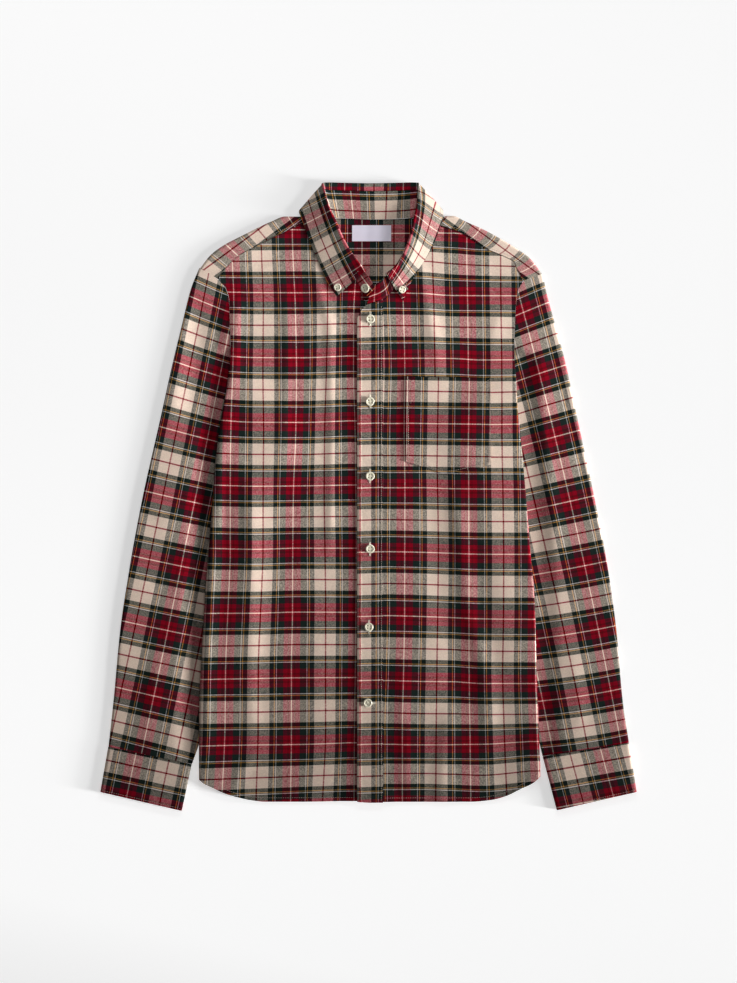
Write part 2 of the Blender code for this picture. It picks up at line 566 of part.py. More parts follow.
def collar_frames(first, last, count):
    """Seam, fold and leaf edge points, and the directions up the stand and out of it."""
    table = np.array(COLLAR, float)
    for row in table:
        if row[COLLAR_EDGE_Z] == 0:
            row[COLLAR_EDGE_Z] = leaf_rest(row[6], row[7])
    rows = through(np.column_stack([np.arange(len(table)), table]), np.linspace(first, last, count))
    seam, fold, edge = rows[:, 0:3], rows[:, 3:6], rows[:, 6:9].copy()
    for point in edge:
        if point[1] < LEAF_OFF_YOKE:
            point[2] = max(point[2], leaf_rest(point[0], point[1]))
    run = np.gradient((seam + fold) / 2, axis=0)
    up = fold - seam
    up = up / np.linalg.norm(up, axis=1, keepdims=True)
    out = np.cross(up, run)
    out = out / np.linalg.norm(out, axis=1, keepdims=True)
    return seam, fold, edge, up, out


def stand_share(count, first, last):
    """Share of the way from seam to fold where the leaf is sewn to the stand."""
    row = np.linspace(first, last, count)
    middle = (len(COLLAR) - 1) / 2
    side = smooth((np.abs(row - middle) - 2.5) / 3.0)
    return STAND_SHARE_BACK + (STAND_SHARE_FRONT - STAND_SHARE_BACK) * side


def collar_stand(material):
    """The stand: a band from the neck seam up to the leaf, with its ends past the leaf."""
    count = 47
    last = len(COLLAR) - 1
    seam, fold, _, _, _ = collar_frames(0, last, count)
    share = stand_share(count, 0, last)
    height = np.linspace(0.0, 1.0, 4)[:, None, None]
    grid = seam + (fold - seam) * share[:, None] * height
    return grid, sheet("collar_stand", grid, WALL, material)


def collar_leaf(material):
    """The leaf: up from the stand, over its fold and down to its edge and points."""
    count = 49
    seam, fold, edge, up, out = collar_frames(LEAF_FIRST_ROW, LEAF_LAST_ROW, count)
    share = stand_share(count, LEAF_FIRST_ROW, LEAF_LAST_ROW)[:, None]
    radius = LEAF_FOLD_RADIUS
    start = seam + (fold - seam) * share + up * 1.6 * SEAM_GAP
    lines = [start]
    inner = fold - up * radius
    room = np.linalg.norm(inner - start, axis=1, keepdims=True)
    forward = np.sum((inner - start) * up, axis=1, keepdims=True)
    inner = np.where(forward > 0.4, inner, start + up * np.maximum(0.4, 0.1 * room))
    middle = inner + out * radius
    for angle in np.linspace(0.0, math.pi, 5):
        lines.append(middle - out * radius * math.cos(angle) + up * radius * math.sin(angle))
    leave = lines[-1]
    pull = (leave + edge) / 2 + out * LEAF_BOW
    for t in np.linspace(0.0, 1.0, 6)[1:]:
        lines.append((1 - t) ** 2 * leave + 2 * t * (1 - t) * pull + t * t * edge)
    grid = np.array(lines)
    grid[..., 2] = np.maximum(grid[..., 2], FLOOR_LAYER)
    return grid, sheet("collar_leaf", grid, WALL, material)


# ---------------------------------------------------------------- what lies on the fronts

def placket(material):
    """The placket: a strip on the right front's centre edge."""
    top_table = np.array(PLACKET_TOP)
    x = top_table[:, 0]
    bottom = hem_y(x) - PLACKET_OVERHANG
    share = np.linspace(0.0, 1.0, 16)[:, None]
    y = bottom + (top_table[:, 1] - bottom) * share
    x = np.broadcast_to(x, y.shape)
    grid = np.stack([x, y, front_z(RIGHT, x, y) + WALL + LAY_GAP], -1)
    return sheet("placket", grid, WALL, material)


def pocket(material):
    """The chest pocket: its front's points moved out."""
    table = through(POCKET, np.linspace(POCKET[0][0], POCKET[-1][0], 9))
    x = np.linspace(POCKET[0][0], POCKET[-1][0], 9)
    share = np.linspace(0.0, 1.0, 7)[:, None]
    y = table[:, 1] + (table[:, 0] - table[:, 1]) * share
    x = np.broadcast_to(x, y.shape)
    grid = np.stack([x, y, front_z(RIGHT, x, y) + WALL + LAY_GAP], -1)
    return sheet("pocket", grid, WALL, material)


def label(material):
    """The blank label inside the back of the neck."""
    left, bottom, right, top = LABEL_CORNERS
    x, y = np.meshgrid(np.linspace(left, right, 3), np.linspace(bottom, top, 3))
    level = FLOOR_LAYER + HALF_WALL + LAY_GAP + LABEL_THICK / 2
    return sheet("label", np.stack([x, y, np.full_like(x, level)], -1), LABEL_THICK, material)


def resting_place(grid, x, y, radius):
    """Height and normal of the top of a sheet under a round piece."""
    fine = [through(np.column_stack([np.arange(len(line)), line]), np.linspace(0, len(line) - 1, 161))
            for line in grid.transpose(1, 0, 2)]
    fine = np.array(fine)
    dense = [through(np.column_stack([np.arange(len(fine)), fine[:, k]]),
                     np.linspace(0, len(fine) - 1, 241)) for k in range(fine.shape[1])]
    points = np.array(dense).reshape(-1, 3)
    near = points[np.hypot(points[:, 0] - x, points[:, 1] - y) < radius]
    near = near[near[:, 2] > near[:, 2].max() - 6.0]
    fit, *_ = np.linalg.lstsq(np.column_stack([near[:, 0] - x, near[:, 1] - y, np.ones(len(near))]),
                              near[:, 2], rcond=None)
    over = near[:, 2] - (near[:, :2] - (x, y)) @ fit[:2] - fit[2]
    normal = np.array([-fit[0], -fit[1], 1.0])
    return fit[2] + over.max(), normal / np.linalg.norm(normal)


def button_mesh(name, diameter, material):
    """A button turned from its profile, before its four holes are cut."""
    sides = 16
    angle = np.linspace(0.0, 2 * math.pi, sides, endpoint=False)
    rings = [np.column_stack([np.cos(angle) * share * diameter / 2, np.sin(angle) * share * diameter / 2,
                              np.full(sides, height)]) for share, height in BUTTON_PROFILE]
    points = np.concatenate(rings)
    index = np.arange(len(points)).reshape(len(rings), sides)
    index = np.concatenate([index, index[:, :1]], axis=1)
    quads = np.stack([index[1:, :-1], index[1:, 1:], index[:-1, 1:], index[:-1, :-1]], -1)
    faces = quads.reshape(-1, 4).tolist() + [index[0, :-1].tolist(), index[-1, -2::-1].tolist()]
    mesh = bpy.data.meshes.new(name)
    mesh.from_pydata((points * MM).tolist(), [], faces)
    mesh.materials.append(material)
    return mesh


def hole_cutter():
    """Four small cylinders that cut a button's sewing holes."""
    sides = 6
    angle = np.linspace(0.0, 2 * math.pi, sides, endpoint=False)
    points, faces = [], []
    for x in (-1, 1):
        for y in (-1, 1):
            first = len(points)
            for z in (-1.0, 4.0):
                points += [(x * BUTTON_HOLE_SPACING + BUTTON_HOLE_RADIUS * math.cos(a),
                            y * BUTTON_HOLE_SPACING + BUTTON_HOLE_RADIUS * math.sin(a), z)
                           for a in angle]
            low = [first + k for k in range(sides)]
            high = [first + sides + k for k in range(sides)]
            faces += [low[::-1], high]
            faces += [[low[k], low[(k + 1) % sides], high[(k + 1) % sides], high[k]]
                      for k in range(sides)]
    mesh = bpy.data.meshes.new("button_holes")
    mesh.from_pydata((np.array(points) * MM).tolist(), [], faces)
    cutter = bpy.data.objects.new("button_holes", mesh)
    cutter.hide_render = True
    cutter.display_type = "WIRE"
    bpy.context.scene.collection.objects.link(cutter)
    return cutter


def buttons(stand_grid, leaf_grid, material):
    """All buttons, each on the surface that carries it."""
    meshes = {}
    for name, x, y, diameter, carrier in BUTTONS:
        if diameter not in meshes:
            meshes[diameter] = button_mesh("button_%.0f" % (diameter * 10), diameter, material)
        if carrier == "placket":
            level = float(front_z(RIGHT, x, y)) + 1.5 * WALL + 2 * LAY_GAP
            normal = np.array([0.0, 0.0, 1.0])
        else:
            grid = stand_grid[:, :14] if carrier == "stand" else leaf_grid[5:]
            level, normal = resting_place(grid, x, y, diameter / 2)
            level += (HALF_WALL + LAY_GAP) / normal[2]
        obj = bpy.data.objects.new(name, meshes[diameter])
        obj.location = (x * MM, y * MM, level * MM)
        obj.rotation_euler = Vector(normal).to_track_quat("Z", "Y").to_euler()
        bpy.context.scene.collection.objects.link(obj)
        cutter = hole_cutter()
        cutter.parent = obj
        cut = obj.modifiers.new("holes", "BOOLEAN")
        cut.operation = "DIFFERENCE"
        cut.object = cutter


def main():
    """Clear the scene and build every piece."""
    for obj in list(bpy.data.objects):
        bpy.data.objects.remove(obj, do_unlink=True)
    plaid = {}
    for name in ("back", "yoke", "front_right", "front_left", "placket", "pocket", "collar_stand",
                 "collar_leaf", "sleeve_right", "sleeve_left", "cuff_right", "cuff_left"):
        plaid[name] = plain_material(name + "_cloth", PLAID)
    back_panel(plaid["back"])
    yoke_panel(plaid["yoke"])
    front_panel("front_right", LEFT, 352.0, plaid["front_right"])
    front_panel("front_left", RIGHT, 350.5, plaid["front_left"])
    sleeve("sleeve_right", LEFT, plaid["sleeve_right"])
    sleeve("sleeve_left", RIGHT, plaid["sleeve_left"])
    cuff("cuff_right", LEFT, plaid["cuff_right"])
    cuff("cuff_left", RIGHT, plaid["cuff_left"])
    stand_grid, _ = collar_stand(plaid["collar_stand"])
    leaf_grid, _ = collar_leaf(plaid["collar_leaf"])
    placket(plaid["placket"])
    pocket(plaid["pocket"])
    label(plain_material("label_cloth", LABEL_WHITE))
    buttons(stand_grid, leaf_grid, plain_material("button_ivory", IVORY))


main()
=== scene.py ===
"""Tartan oxford shirt, laid flat with its front up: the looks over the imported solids.

+X runs to the viewer's right, +Y up to the collar and +Z off the surface. Shapes are worked out in
millimetres, as grids of points on each panel's middle surface, and become meshes in metres. Places
that were read off the photograph stay in its pixels, 1.28 mm each, and `plan` turns them.
"""
import sys
import logging
import math
from dataclasses import dataclass
from enum import Enum
from typing import Any, Callable, Iterable, Sequence

import bpy
import numpy as np
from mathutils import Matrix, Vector


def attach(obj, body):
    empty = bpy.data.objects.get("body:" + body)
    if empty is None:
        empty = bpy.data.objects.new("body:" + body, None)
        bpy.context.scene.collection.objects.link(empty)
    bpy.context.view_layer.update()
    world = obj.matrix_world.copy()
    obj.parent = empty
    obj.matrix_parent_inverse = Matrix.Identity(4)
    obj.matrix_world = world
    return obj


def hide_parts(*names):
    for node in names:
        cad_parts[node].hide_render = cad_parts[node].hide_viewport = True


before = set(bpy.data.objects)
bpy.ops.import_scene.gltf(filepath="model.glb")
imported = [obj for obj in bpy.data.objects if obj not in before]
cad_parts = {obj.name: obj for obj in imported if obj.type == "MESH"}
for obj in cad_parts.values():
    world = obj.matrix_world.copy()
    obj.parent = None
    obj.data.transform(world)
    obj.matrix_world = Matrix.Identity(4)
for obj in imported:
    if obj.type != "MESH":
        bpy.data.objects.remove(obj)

Array = np.ndarray
Rows = tuple[tuple[float, ...], ...]
Colour = tuple[float, float, float]
Pair = tuple[float, float]
Part = tuple[Array, Array]
Material = bpy.types.Material
Piece = bpy.types.Object

log = logging.getLogger("shirt")

MM = 0.001
PIXEL = 1.28  # millimetres to one pixel of the photograph
PICTURE_X = 368.5  # the photograph's pixel at the origin
PICTURE_Y = 496.5
VIEW_Y = 491.5  # the photograph's middle row
VIEW_HEIGHT = 983.0

HALF_SETT = 32.2  # half a repeat of the check, in pixels
CLOTH = 0.7  # shown thickness of one layer of cloth

WALL = 1.3  # the solids' wall, whose middle surface the cloth follows
HALF_WALL = WALL / 2
SEAM_GAP = 0.2
LAY_GAP = 0.35
FLOOR_LAYER = HALF_WALL
FRONT_LEVEL = 5.0
ARMHOLE_RISE = 0.75
ARMHOLE_REACH = 40.0
SIDE_RISE = 3.0
SIDE_REACH = 60.0
SIDE_FOLD_RADIUS = 1.85
TURN_UNDER = 15.0
SIDE_FOLD_TOP = 185.0
SIDE_FOLD_FULL = 107.0
BACK_OVER_SLEEVE = 3.7
BACK_RISE_MARGIN = 8.0
BACK_RISE_REACH = 30.0
BACK_RISE_FADE = 30.0
SLEEVE_PRESSED = 3.4
SLEEVE_LOFT = 6.4
LOFT_REACH = 26.0
PRESSED_MARGIN = 8.0
LOFT_FROM_Y = 175.0
LOFT_FADE = 25.0
REACH_MARGIN = 25.0
CUFF_LOFT = 7.0
UNDERLAP_DROP = 1.6
UNDERLAP_START = -20.5
UNDERLAP_REACH = 6.5
UNDERLAP_TOP = 275.0
UNDERLAP_FADE = 15.0
UNDERLAP_EDGE = 15.0
HEM_BOTTOM = -391.0
HEM_EASE = 60.0
HEM_DROP = 0.8
HEM_DROP_REACH = 25.0
HEM_DROP_MARGIN = 25.0
BACK_HEM_SHORT = 3.0
YOKE_SEAM_Y = 251.5
NECK_INSET = 0.4

# Columns: y, x of each front's outer edge (hem, side, armhole, yoke seam).
LEFT_OUTER: Rows = (
    (-361.5, -217), (-311.5, -217), (-260.5, -216.5), (-196.5, -213), (-132.5, -209.5),
    (-68.5, -204.5), (-4.5, -199.5), (53, -195), (107, -187.5), (150.5, -179), (185, -176.5),
    (222, -177.5), (251.5, -178.5), (267, -183), (278, -192), (284, -189), (295, -180),
    (308, -166), (322, -140), (336, -112), (347.5, -85), (352.5, -64.5),
)
RIGHT_OUTER: Rows = (
    (-358, 220), (-311.5, 218.5), (-260.5, 216.5), (-196.5, 214.5), (-132.5, 212.5), (-68.5, 207),
    (-4.5, 202), (53, 197), (107, 191.5), (150.5, 188), (185, 186.5), (222, 187.5), (251.5, 189.5),
    (264.5, 192), (274.5, 197), (290, 190), (300, 186), (306.5, 174.5), (315.5, 153), (328.5, 131),
    (340, 112), (345, 93), (351.5, 75),
)
# Columns: x, y of the hem, from the left side fold to the right one.
HEM: Rows = (
    (-217, -361.5), (-212, -366.5), (-202, -371.5), (-182.5, -380.5), (-166, -385.5),
    (-150.5, -389), (-132.5, -391), (-87.5, -391), (-17.5, -390), (2, -391), (131, -391),
    (158, -388.5), (176, -383.5), (194, -374.5), (212, -365.5), (220, -358),
)
# Columns: outer x, outer y, inner x, inner y of a line across the sleeve, shoulder to cuff.
LEFT_SLEEVE: Rows = (
    (-216.5, 293, -123.5, 72.5), (-227, 267, -126, 57), (-237.5, 226, -130, 39),
    (-250, 174.5, -136.5, 14.5), (-267, 98, -148, -30), (-290, -4.5, -164.5, -89),
    (-306.5, -94, -180, -160.5), (-318, -171, -192.5, -219.5), (-326.5, -260.5, -207.5, -288.5),
    (-333, -320, -226, -342.5),
)
RIGHT_SLEEVE: Rows = (
    (223, 285.5, 132.5, 72.5), (228.5, 259, 135, 57), (237.5, 226, 139, 39),
    (251.5, 174.5, 145.5, 14.5), (268, 98, 157, -30), (290, -4.5, 172, -89),
    (307, -94, 187.5, -160.5), (317.5, -171, 199, -219.5), (325.5, -260.5, 212.5, -288.5),
    (333.5, -315, 223, -332.5),
)
# Columns: x, y along the armhole seam, from the fold at the shoulder to the hidden underarm.
LEFT_ARMHOLE: Rows = (
    (-216.5, 293), (-194, 279), (-183, 267), (-178.5, 251.5), (-177.5, 222), (-176.5, 185),
    (-176, 159.5), (-167, 126), (-149, 98), (-123.5, 72.5),
)
RIGHT_ARMHOLE: Rows = (
    (223, 285.5), (197, 274.5), (192, 264.5), (189.5, 251.5), (187.5, 222), (186.5, 185),
    (186, 159.5), (176, 126), (158, 98), (132.5, 72.5),
)
# Columns: outer x, outer y, inner x, inner y, from the cuff seam to the cuff's edge.
LEFT_CUFF: Rows = ((-333.4, -320.5, -226.4, -343), (-343.5, -378, -239, -402.3))
RIGHT_CUFF: Rows = ((333.5, -315.5, 223, -333), (343.5, -378, 241, -401.5))

# Columns: back seam x, front seam x, y, shoulder fold x, y, turn of the fold in degrees.
YOKE: Rows = (
    (-158, -194, 279.5, -215.5, 292.5, 180), (-148, -180, 295.7, -203, 308.5, 180),
    (-140, -166, 308.7, -187.5, 320.5, 180), (-126, -140, 322.8, -158, 336, 180),
    (-108, -112, 336.8, -126, 351.5, 180), (-97, -98, 342.8, -107, 358.6, 180),
    (-86, -84, 348.4, -90, 358.4, 180), (-70, -64.5, 353.2, -68, 358.4, 180),
    (-54, -49, 357.3, -49, 357.3, 120), (-46, -44, 357.6, -44, 357.6, 60),
    (-36, -36, 356.6, -36, 356.6, 30), (-21, -21, 356, -21, 356, 25), (5, 5, 355, 5, 355, 25),
    (34, 34, 355.5, 34, 355.5, 25), (50, 50, 356.6, 50, 356.6, 30), (60, 57, 357.6, 57, 357.6, 60),
    (68, 62, 357, 62, 357, 120), (80, 75, 352.3, 77, 358.4, 180), (92, 88, 348.3, 94, 358.6, 180),
    (104, 101, 344.4, 108, 359.4, 180), (118, 114, 340, 125, 351.8, 180),
    (134, 131, 329.4, 144, 343.5, 180), (150, 153, 316.4, 172, 328.5, 180),
    (164, 174.5, 307.4, 196.5, 313, 180), (170, 186, 301, 206.5, 305.5, 180),
    (174, 190.8, 290.5, 215, 295, 180), (177, 197.5, 275.7, 222, 285, 180),
)

# Columns: stand seam x, y, z; top fold x, y, z; leaf edge x, y, z. A leaf edge z of 0 means that
# the edge lies on the front below it. From the viewer's left end round the back to the right end.
COLLAR: Rows = (
    (-1.5, 256.5, 10.2, 9, 267, 13.8, -40.5, 256, 0),
    (-9.5, 267.5, 8.4, 3, 278, 14.2, -40.5, 256, 0), (-19, 282, 7, -4, 287.5, 15, -40.5, 256, 0),
    (-30, 304, 6.8, -16, 302.5, 16, -51, 271, 0),
    (-41.5, 324.5, 6.8, -32.5, 328.5, 16.5, -63.5, 299.5, 0),
    (-48.5, 341, 6.8, -42, 351.5, 15.5, -72.5, 320, 0),
    (-50.5, 351.5, 6.8, -48.5, 365.5, 14, -80.5, 342, 0),
    (-49, 356, 6.2, -54, 383.5, 12, -86, 356, 0),
    (-46, 358, 4.6, -58, 400.5, 9.6, -89, 364.8, 6.2),
    (-40.5, 357, 3, -49.5, 401.5, 7.4, -78.5, 370, 1.4),
    (-21, 356, 2.4, -26, 401, 6.8, -36.5, 370.5, 0.65),
    (4.5, 355, 2.4, 3, 400.5, 6.8, 3, 370.5, 0.65),
    (30, 355.5, 2.4, 32.5, 401, 6.8, 40.5, 370.5, 0.65),
    (53, 357, 3, 54, 401.5, 7.4, 84, 370.5, 1.4),
    (59, 358, 4.6, 63.5, 400.5, 9.6, 95.5, 365.2, 6.2),
    (62.5, 356, 6.2, 62.5, 383.5, 12, 95.5, 356.5, 0),
    (63.5, 349, 6.8, 59, 360.5, 14, 92, 347.5, 0),
    (59.5, 333.5, 6.8, 55.5, 342.5, 15.5, 87, 332, 0),
    (54.5, 317, 6.8, 50.5, 324, 16.5, 80, 316, 0), (47.5, 300, 6.8, 43, 306.5, 16, 69, 297.5, 0),
    (40.5, 282, 6.8, 35, 294, 15, 55.5, 276.5, 0), (29, 262, 6.8, 22, 283.5, 13.5, 44.5, 250, 0),
    (16, 252, 6.8, 13.5, 276, 10.8, 44.5, 250, 0),
    (-1.5, 246.5, 6.8, 4.5, 270.5, 8.2, 44.5, 250, 0),
)
LEAF_FIRST_ROW, LEAF_LAST_ROW = 2, 21
LEFT_CORNER_ROW, RIGHT_CORNER_ROW = 8.0, 14.0
STAND_SHARE_BACK = 0.78
STAND_SHARE_FRONT = 0.93
LEAF_FOLD_RADIUS = 1.6
LEAF_BOW = 3.0
LEAF_LIFT = 0.5
LEAF_OFF_YOKE = 356.0
LEAF_OUTER = 20  # first row of the leaf grid past its fold

PLACKET_TOP: Rows = ((-14.5, 228), (-13, 231), (-10, 237), (-2, 245), (8, 248), (18.5, 251))
PLACKET_OVERHANG = 0.8
PLACKET_MIDDLE = 2.0
PLACKET_HALF = 20.0
POCKET: Rows = (
    (48.6, 153.5, 44.4), (54, 153.4, 42.8), (76, 152.9, 36.2), (100, 152.3, 29.2),
    (127, 151.7, 33.6), (151.5, 151.1, 39.3), (156.4, 151, 41),
)


# --- curves

def smooth(value: Array | float) -> Array:
    """Ease from 0 to 1, flat at both ends: 3t^2 - 2t^3 of the clipped value."""
    value = np.clip(value, 0.0, 1.0)
    return value * value * (3.0 - 2.0 * value)


def through(table: Sequence[Sequence[float]] | Array, where: Array | float) -> Array:
    """Cubic through a table's rows that never overshoots them.

    Each stretch is a Hermite cubic. Its end slopes are the weighted harmonic mean of the slopes of
    the stretches on both sides, or 0 where those differ in sign.

    Args:
        table: Rows whose first column is the place along the curve.
        where: Places at which the other columns are wanted.

    Returns:
        Array of where's shape with one more axis for the other columns.
    """
    rows = np.asarray(table, float)
    place, values = rows[:, 0], rows[:, 1:]
    step = np.diff(place)[:, None]
    slope = np.diff(values, axis=0) / step
    before, after = slope[:-1], slope[1:]
    same_way = before * after > 0
    safe_before = np.where(same_way, before, 1.0)
    safe_after = np.where(same_way, after, 1.0)
    weight_before = 2 * step[1:] + step[:-1]
    weight_after = step[1:] + 2 * step[:-1]
    weights = weight_before + weight_after
    mean = weights / (weight_before / safe_before + weight_after / safe_after)
    tangent = np.vstack([slope[:1], np.where(same_way, mean, 0.0), slope[-1:]])
    where = np.clip(np.asarray(where, float), place[0], place[-1])
    row = np.clip(np.searchsorted(place, where, side="right") - 1, 0, len(place) - 2)
    t = ((where - place[row]) / step[row, 0])[..., None]
    rise = step[row] * tangent[row]
    next_rise = step[row] * tangent[row + 1]
    return ((1 + 2 * t) * (1 - t) ** 2 * values[row] + t * (1 - t) ** 2 * rise
            + t * t * (3 - 2 * t) * values[row + 1] + t * t * (t - 1) * next_rise)


def unit(count: int) -> Array:
    """Evenly spread values from 0 to 1."""
    return np.linspace(0.0, 1.0, count)


def full_turn(count: int) -> Array:
    """Angles round a circle, evenly spread, without the first one's repeat."""
    return np.linspace(0.0, 2 * math.pi, count, endpoint=False)


def run_along(points: Array) -> Array:
    """Run along a list of points up to each of them."""
    return np.concatenate([[0.0], np.cumsum(np.linalg.norm(np.diff(points, axis=0), axis=1))])


def unit_length(vectors: Array) -> Array:
    """Vectors, one a row, at length 1."""
    return vectors / np.maximum(np.linalg.norm(vectors, axis=-1, keepdims=True), 1e-9)


def along(points: Sequence[Sequence[float]] | Array, share: Array) -> Array:
    """Points at the given shares of the length of a curve through a list of points.

    Args:
        points: The curve's points, one a row.
        share: The shares.

    Returns:
        Points, one a row.
    """
    points = np.asarray(points, float)
    run = run_along(points)
    return through(np.column_stack([run / run[-1], points]), share)


def counted(table: Sequence[Sequence[float]] | Array, place: Array) -> Array:
    """Rows of a table at fractional row numbers, on the same cubic as `through`."""
    rows = np.asarray(table, float)
    return through(np.column_stack([np.arange(len(rows)), rows]), place)


def spread(low: float, high: float, count: int, bunch: float = 1.0) -> Array:
    """Evenly spread values, drawn towards high where bunch is over 1."""
    return high - (high - low) * (1.0 - unit(count)) ** bunch


def plan(px: Array | float, py: Array | float) -> Part:
    """Millimetres of a place in the photograph."""
    return (np.asarray(px, float) - PICTURE_X) * PIXEL, (PICTURE_Y - np.asarray(py, float)) * PIXEL


def picture(x: Array, y: Array) -> Part:
    """Place in the photograph of a point in millimetres."""
    return np.asarray(x) / PIXEL + PICTURE_X, PICTURE_Y - np.asarray(y) / PIXEL


# --- where the check lies

@dataclass(frozen=True)
class CheckFit:
    """Even counts lie on the cream bands' thin red line and odd ones on the red bands' white line, one
    half repeat apart. The factors are those of x^i y^j, by i and then by j, with i + j up to the
    degree. They were fitted to marks that were read off the check's lines.
    """

    warp: tuple[float, ...]
    weft: tuple[float, ...]
    unit: float = 200.0  # pixels to one step of x or y

    def _count(self, factors: tuple[float, ...], px: Array, py: Array) -> Array:
        """Sum of the factors times x^i y^j, at the given places.

        Args:
            factors: The polynomial's factors.
            px: Points' x in the photograph.
            py: Their y.

        Returns:
            Counts.
        """
        x, y = (px - PICTURE_X) / self.unit, (py - PICTURE_Y) / self.unit
        degree = {3: 1, 6: 2, 10: 3}[len(factors)]
        terms = [x ** i * y ** j for i in range(degree + 1) for j in range(degree + 1 - i)]
        return sum(factor * term for factor, term in zip(factors, terms))

    def uv(self, x: Array, y: Array) -> Array:
        """Counts of the warp and weft lines at points in millimetres."""
        place = picture(x, y)
        return np.stack([self._count(self.warp, *place), self._count(self.weft, *place)], -1)


@dataclass(frozen=True)
class CheckRuler:
    """warp_rows: photo y, then photo x of each warp line. weft_rows: photo x, then photo y of each
    weft line. Both are counted on from first.
    """

    warp_rows: Rows
    weft_rows: Rows
    first: int = -1

    def _count(self, rows: Rows, across: Array, along_line: Array) -> Array:
        """Count at each point: lines placed by `through`, straight between two neighbours.

        Args:
            rows: Places of the lines, as warp_rows or weft_rows.
            across: The points' places across the lines.
            along_line: Their places along them.

        Returns:
            Counts, with their parts between two lines.
        """
        lines = through(rows, along_line)
        last = lines.shape[-1] - 2
        seat = np.clip(np.sum(across[..., None] > lines, axis=-1) - 1, 0, last)[..., None]
        low = np.take_along_axis(lines, seat, -1)[..., 0]
        high = np.take_along_axis(lines, seat + 1, -1)[..., 0]
        return self.first + seat[..., 0] + (across - low) / (high - low)

    def uv(self, x: Array, y: Array) -> Array:
        """Counts of the warp and weft lines at points in millimetres.

        Args:
            x: Points' x in millimetres.
            y: Their y.

        Returns:
            Both counts, on a last axis.
        """
        px, py = picture(x, y)
        return np.stack([self._count(self.warp_rows, px, py),
                         self._count(self.weft_rows, py, px)], -1)


LEFT_FRONT_CHECK = CheckRuler(
    ((220, 231.1, 260.6, 292, 325.5, 357),
     (250, 231.9, 261.4, 292.7, 326.5, 357.2),
     (310, 234, 263.3, 295.4, 327.7, 353.8),
     (370, 232.9, 262.9, 296.5, 326.5, 353.5),
     (430, 231, 263.7, 295.9, 324.7, 355),
     (490, 230.4, 263.3, 293.5, 324.2, 355.8),
     (550, 230.4, 263.1, 292.7, 325, 356.3),
     (610, 228.1, 260.7, 292.5, 325.7, 355.9),
     (670, 225.7, 258.3, 291.4, 325.6, 355.2),
     (730, 225, 258.1, 291.4, 325.7, 354.4),
     (800, 221.8, 256, 290.6, 322.6, 354)),
    ((205, 229, 261.5, 291.6, 323.6, 354.3, 387, 419, 452.8, 484.7, 516.5, 548.2, 580.2, 613.2,
      646, 679.2, 712.2, 745.7, 779.5, 811.6),
     (255, 229.2, 261.2, 292.6, 325.3, 357.6, 389.8, 422.3, 454.4, 486.2, 517.6, 549.2, 580.6,
      613.1, 645.5, 678.5, 712.1, 744.9, 777.9, 809.8),
     (300, 229.8, 260.5, 292.8, 325, 357.8, 390, 422.5, 454.5, 485.9, 516.9, 548.2, 579.5, 612.1,
      644.6, 677.8, 711.1, 744.5, 776.3, 807.7),
     (348, 229.5, 262.8, 291.7, 323.6, 356, 388.7, 420.9, 453, 485, 516.5, 548.2, 579.8, 612.3,
      644.6, 677.6, 710.2, 742.8, 774.6, 806)))
RIGHT_FRONT_CHECK = CheckRuler(
    ((220, 401.9, 432.5, 466.8, 500.6, 532),
     (250, 401.9, 432.4, 466.8, 500.6, 532),
     (310, 403.4, 433.9, 467.7, 501, 532.6),
     (370, 404.8, 434.9, 468.3, 501.8, 533.2),
     (430, 404.2, 435.9, 468.1, 501.8, 533.4),
     (490, 404.9, 437.7, 468.6, 502.8, 534.4),
     (550, 404.7, 438.4, 468.8, 503.6, 535.2),
     (610, 404.6, 437.8, 468.9, 503.5, 535.5),
     (670, 403.6, 436.9, 469.1, 502.6, 535.5),
     (730, 402.4, 436.2, 469.9, 504.2, 536.9),
     (800, 402.4, 435.7, 470.8, 507, 539.6)),
    ((392, 233, 260.9, 292.7, 325.6, 358.6, 391.3, 423.5, 455.6, 487.8, 519.7, 551.7, 583.5, 615.6,
      648.3, 680.5, 712.8, 744.3, 773.5, 804.1),
     (422, 232.9, 261.2, 293.6, 325.7, 358.3, 390.7, 423.3, 455.6, 487.7, 520.2, 552.3, 584.3,
      616.5, 648.8, 681.4, 713.6, 744.8, 773.4, 804),
     (452, 233.2, 263.7, 295.5, 327.1, 358.5, 391.7, 424.4, 456.8, 488.7, 521, 553.3, 585.5, 617.6,
      649.6, 681.7, 713.8, 744.6, 774.1, 805.1),
     (482, 235.6, 265.5, 295.7, 327.4, 360, 392.6, 424.6, 457.2, 489, 521.5, 554.2, 586.5, 618.8,
      651.1, 683.4, 714.5, 744.2, 775.2, 806.3),
     (530, 236.6, 266.8, 295.9, 328.3, 359.7, 391.6, 424, 457.1, 489.3, 521.6, 554.3, 586.6, 619.2,
      651.3, 683.3, 714.1, 741.2, 770.7, 802)))
LEFT_SLEEVE_CHECK = CheckFit(
    (5.73671, 0.81378, -0.04855, 4.93219, -0.4814, -0.62955),
    (1.04854, 6.14223, -0.45528, -0.13372, -3.30218, -0.2131, -0.55306, -2.13899, -0.39583,
     -0.78575))
RIGHT_SLEEVE_CHECK = CheckFit(
    (-4.08705, -1.24337, 0.08233, 4.39989, -0.08263, 0.67236),
    (-3.3631, 7.09388, -0.07008, 0.06604, 4.06265, -1.73375, 0.22906, -2.81535, 0.52637,
     0.96503))
LEFT_CUFF_CHECK = CheckFit(
    (6.13558, 1.25205, 5.80338),
    (-9.21318, 5.72649, -1.2767))
RIGHT_CUFF_CHECK = CheckFit(
    (-4.13073, -1.71896, 6.297),
    (-8.10483, 5.27881, 0.95194))
LEFT_YOKE_CHECK = CheckFit(
    (-5.69677, -9.8737, -2.29817, 7.90409, 0.24334, 2.60563),
    (8.551, 4.91723, 3.62001))
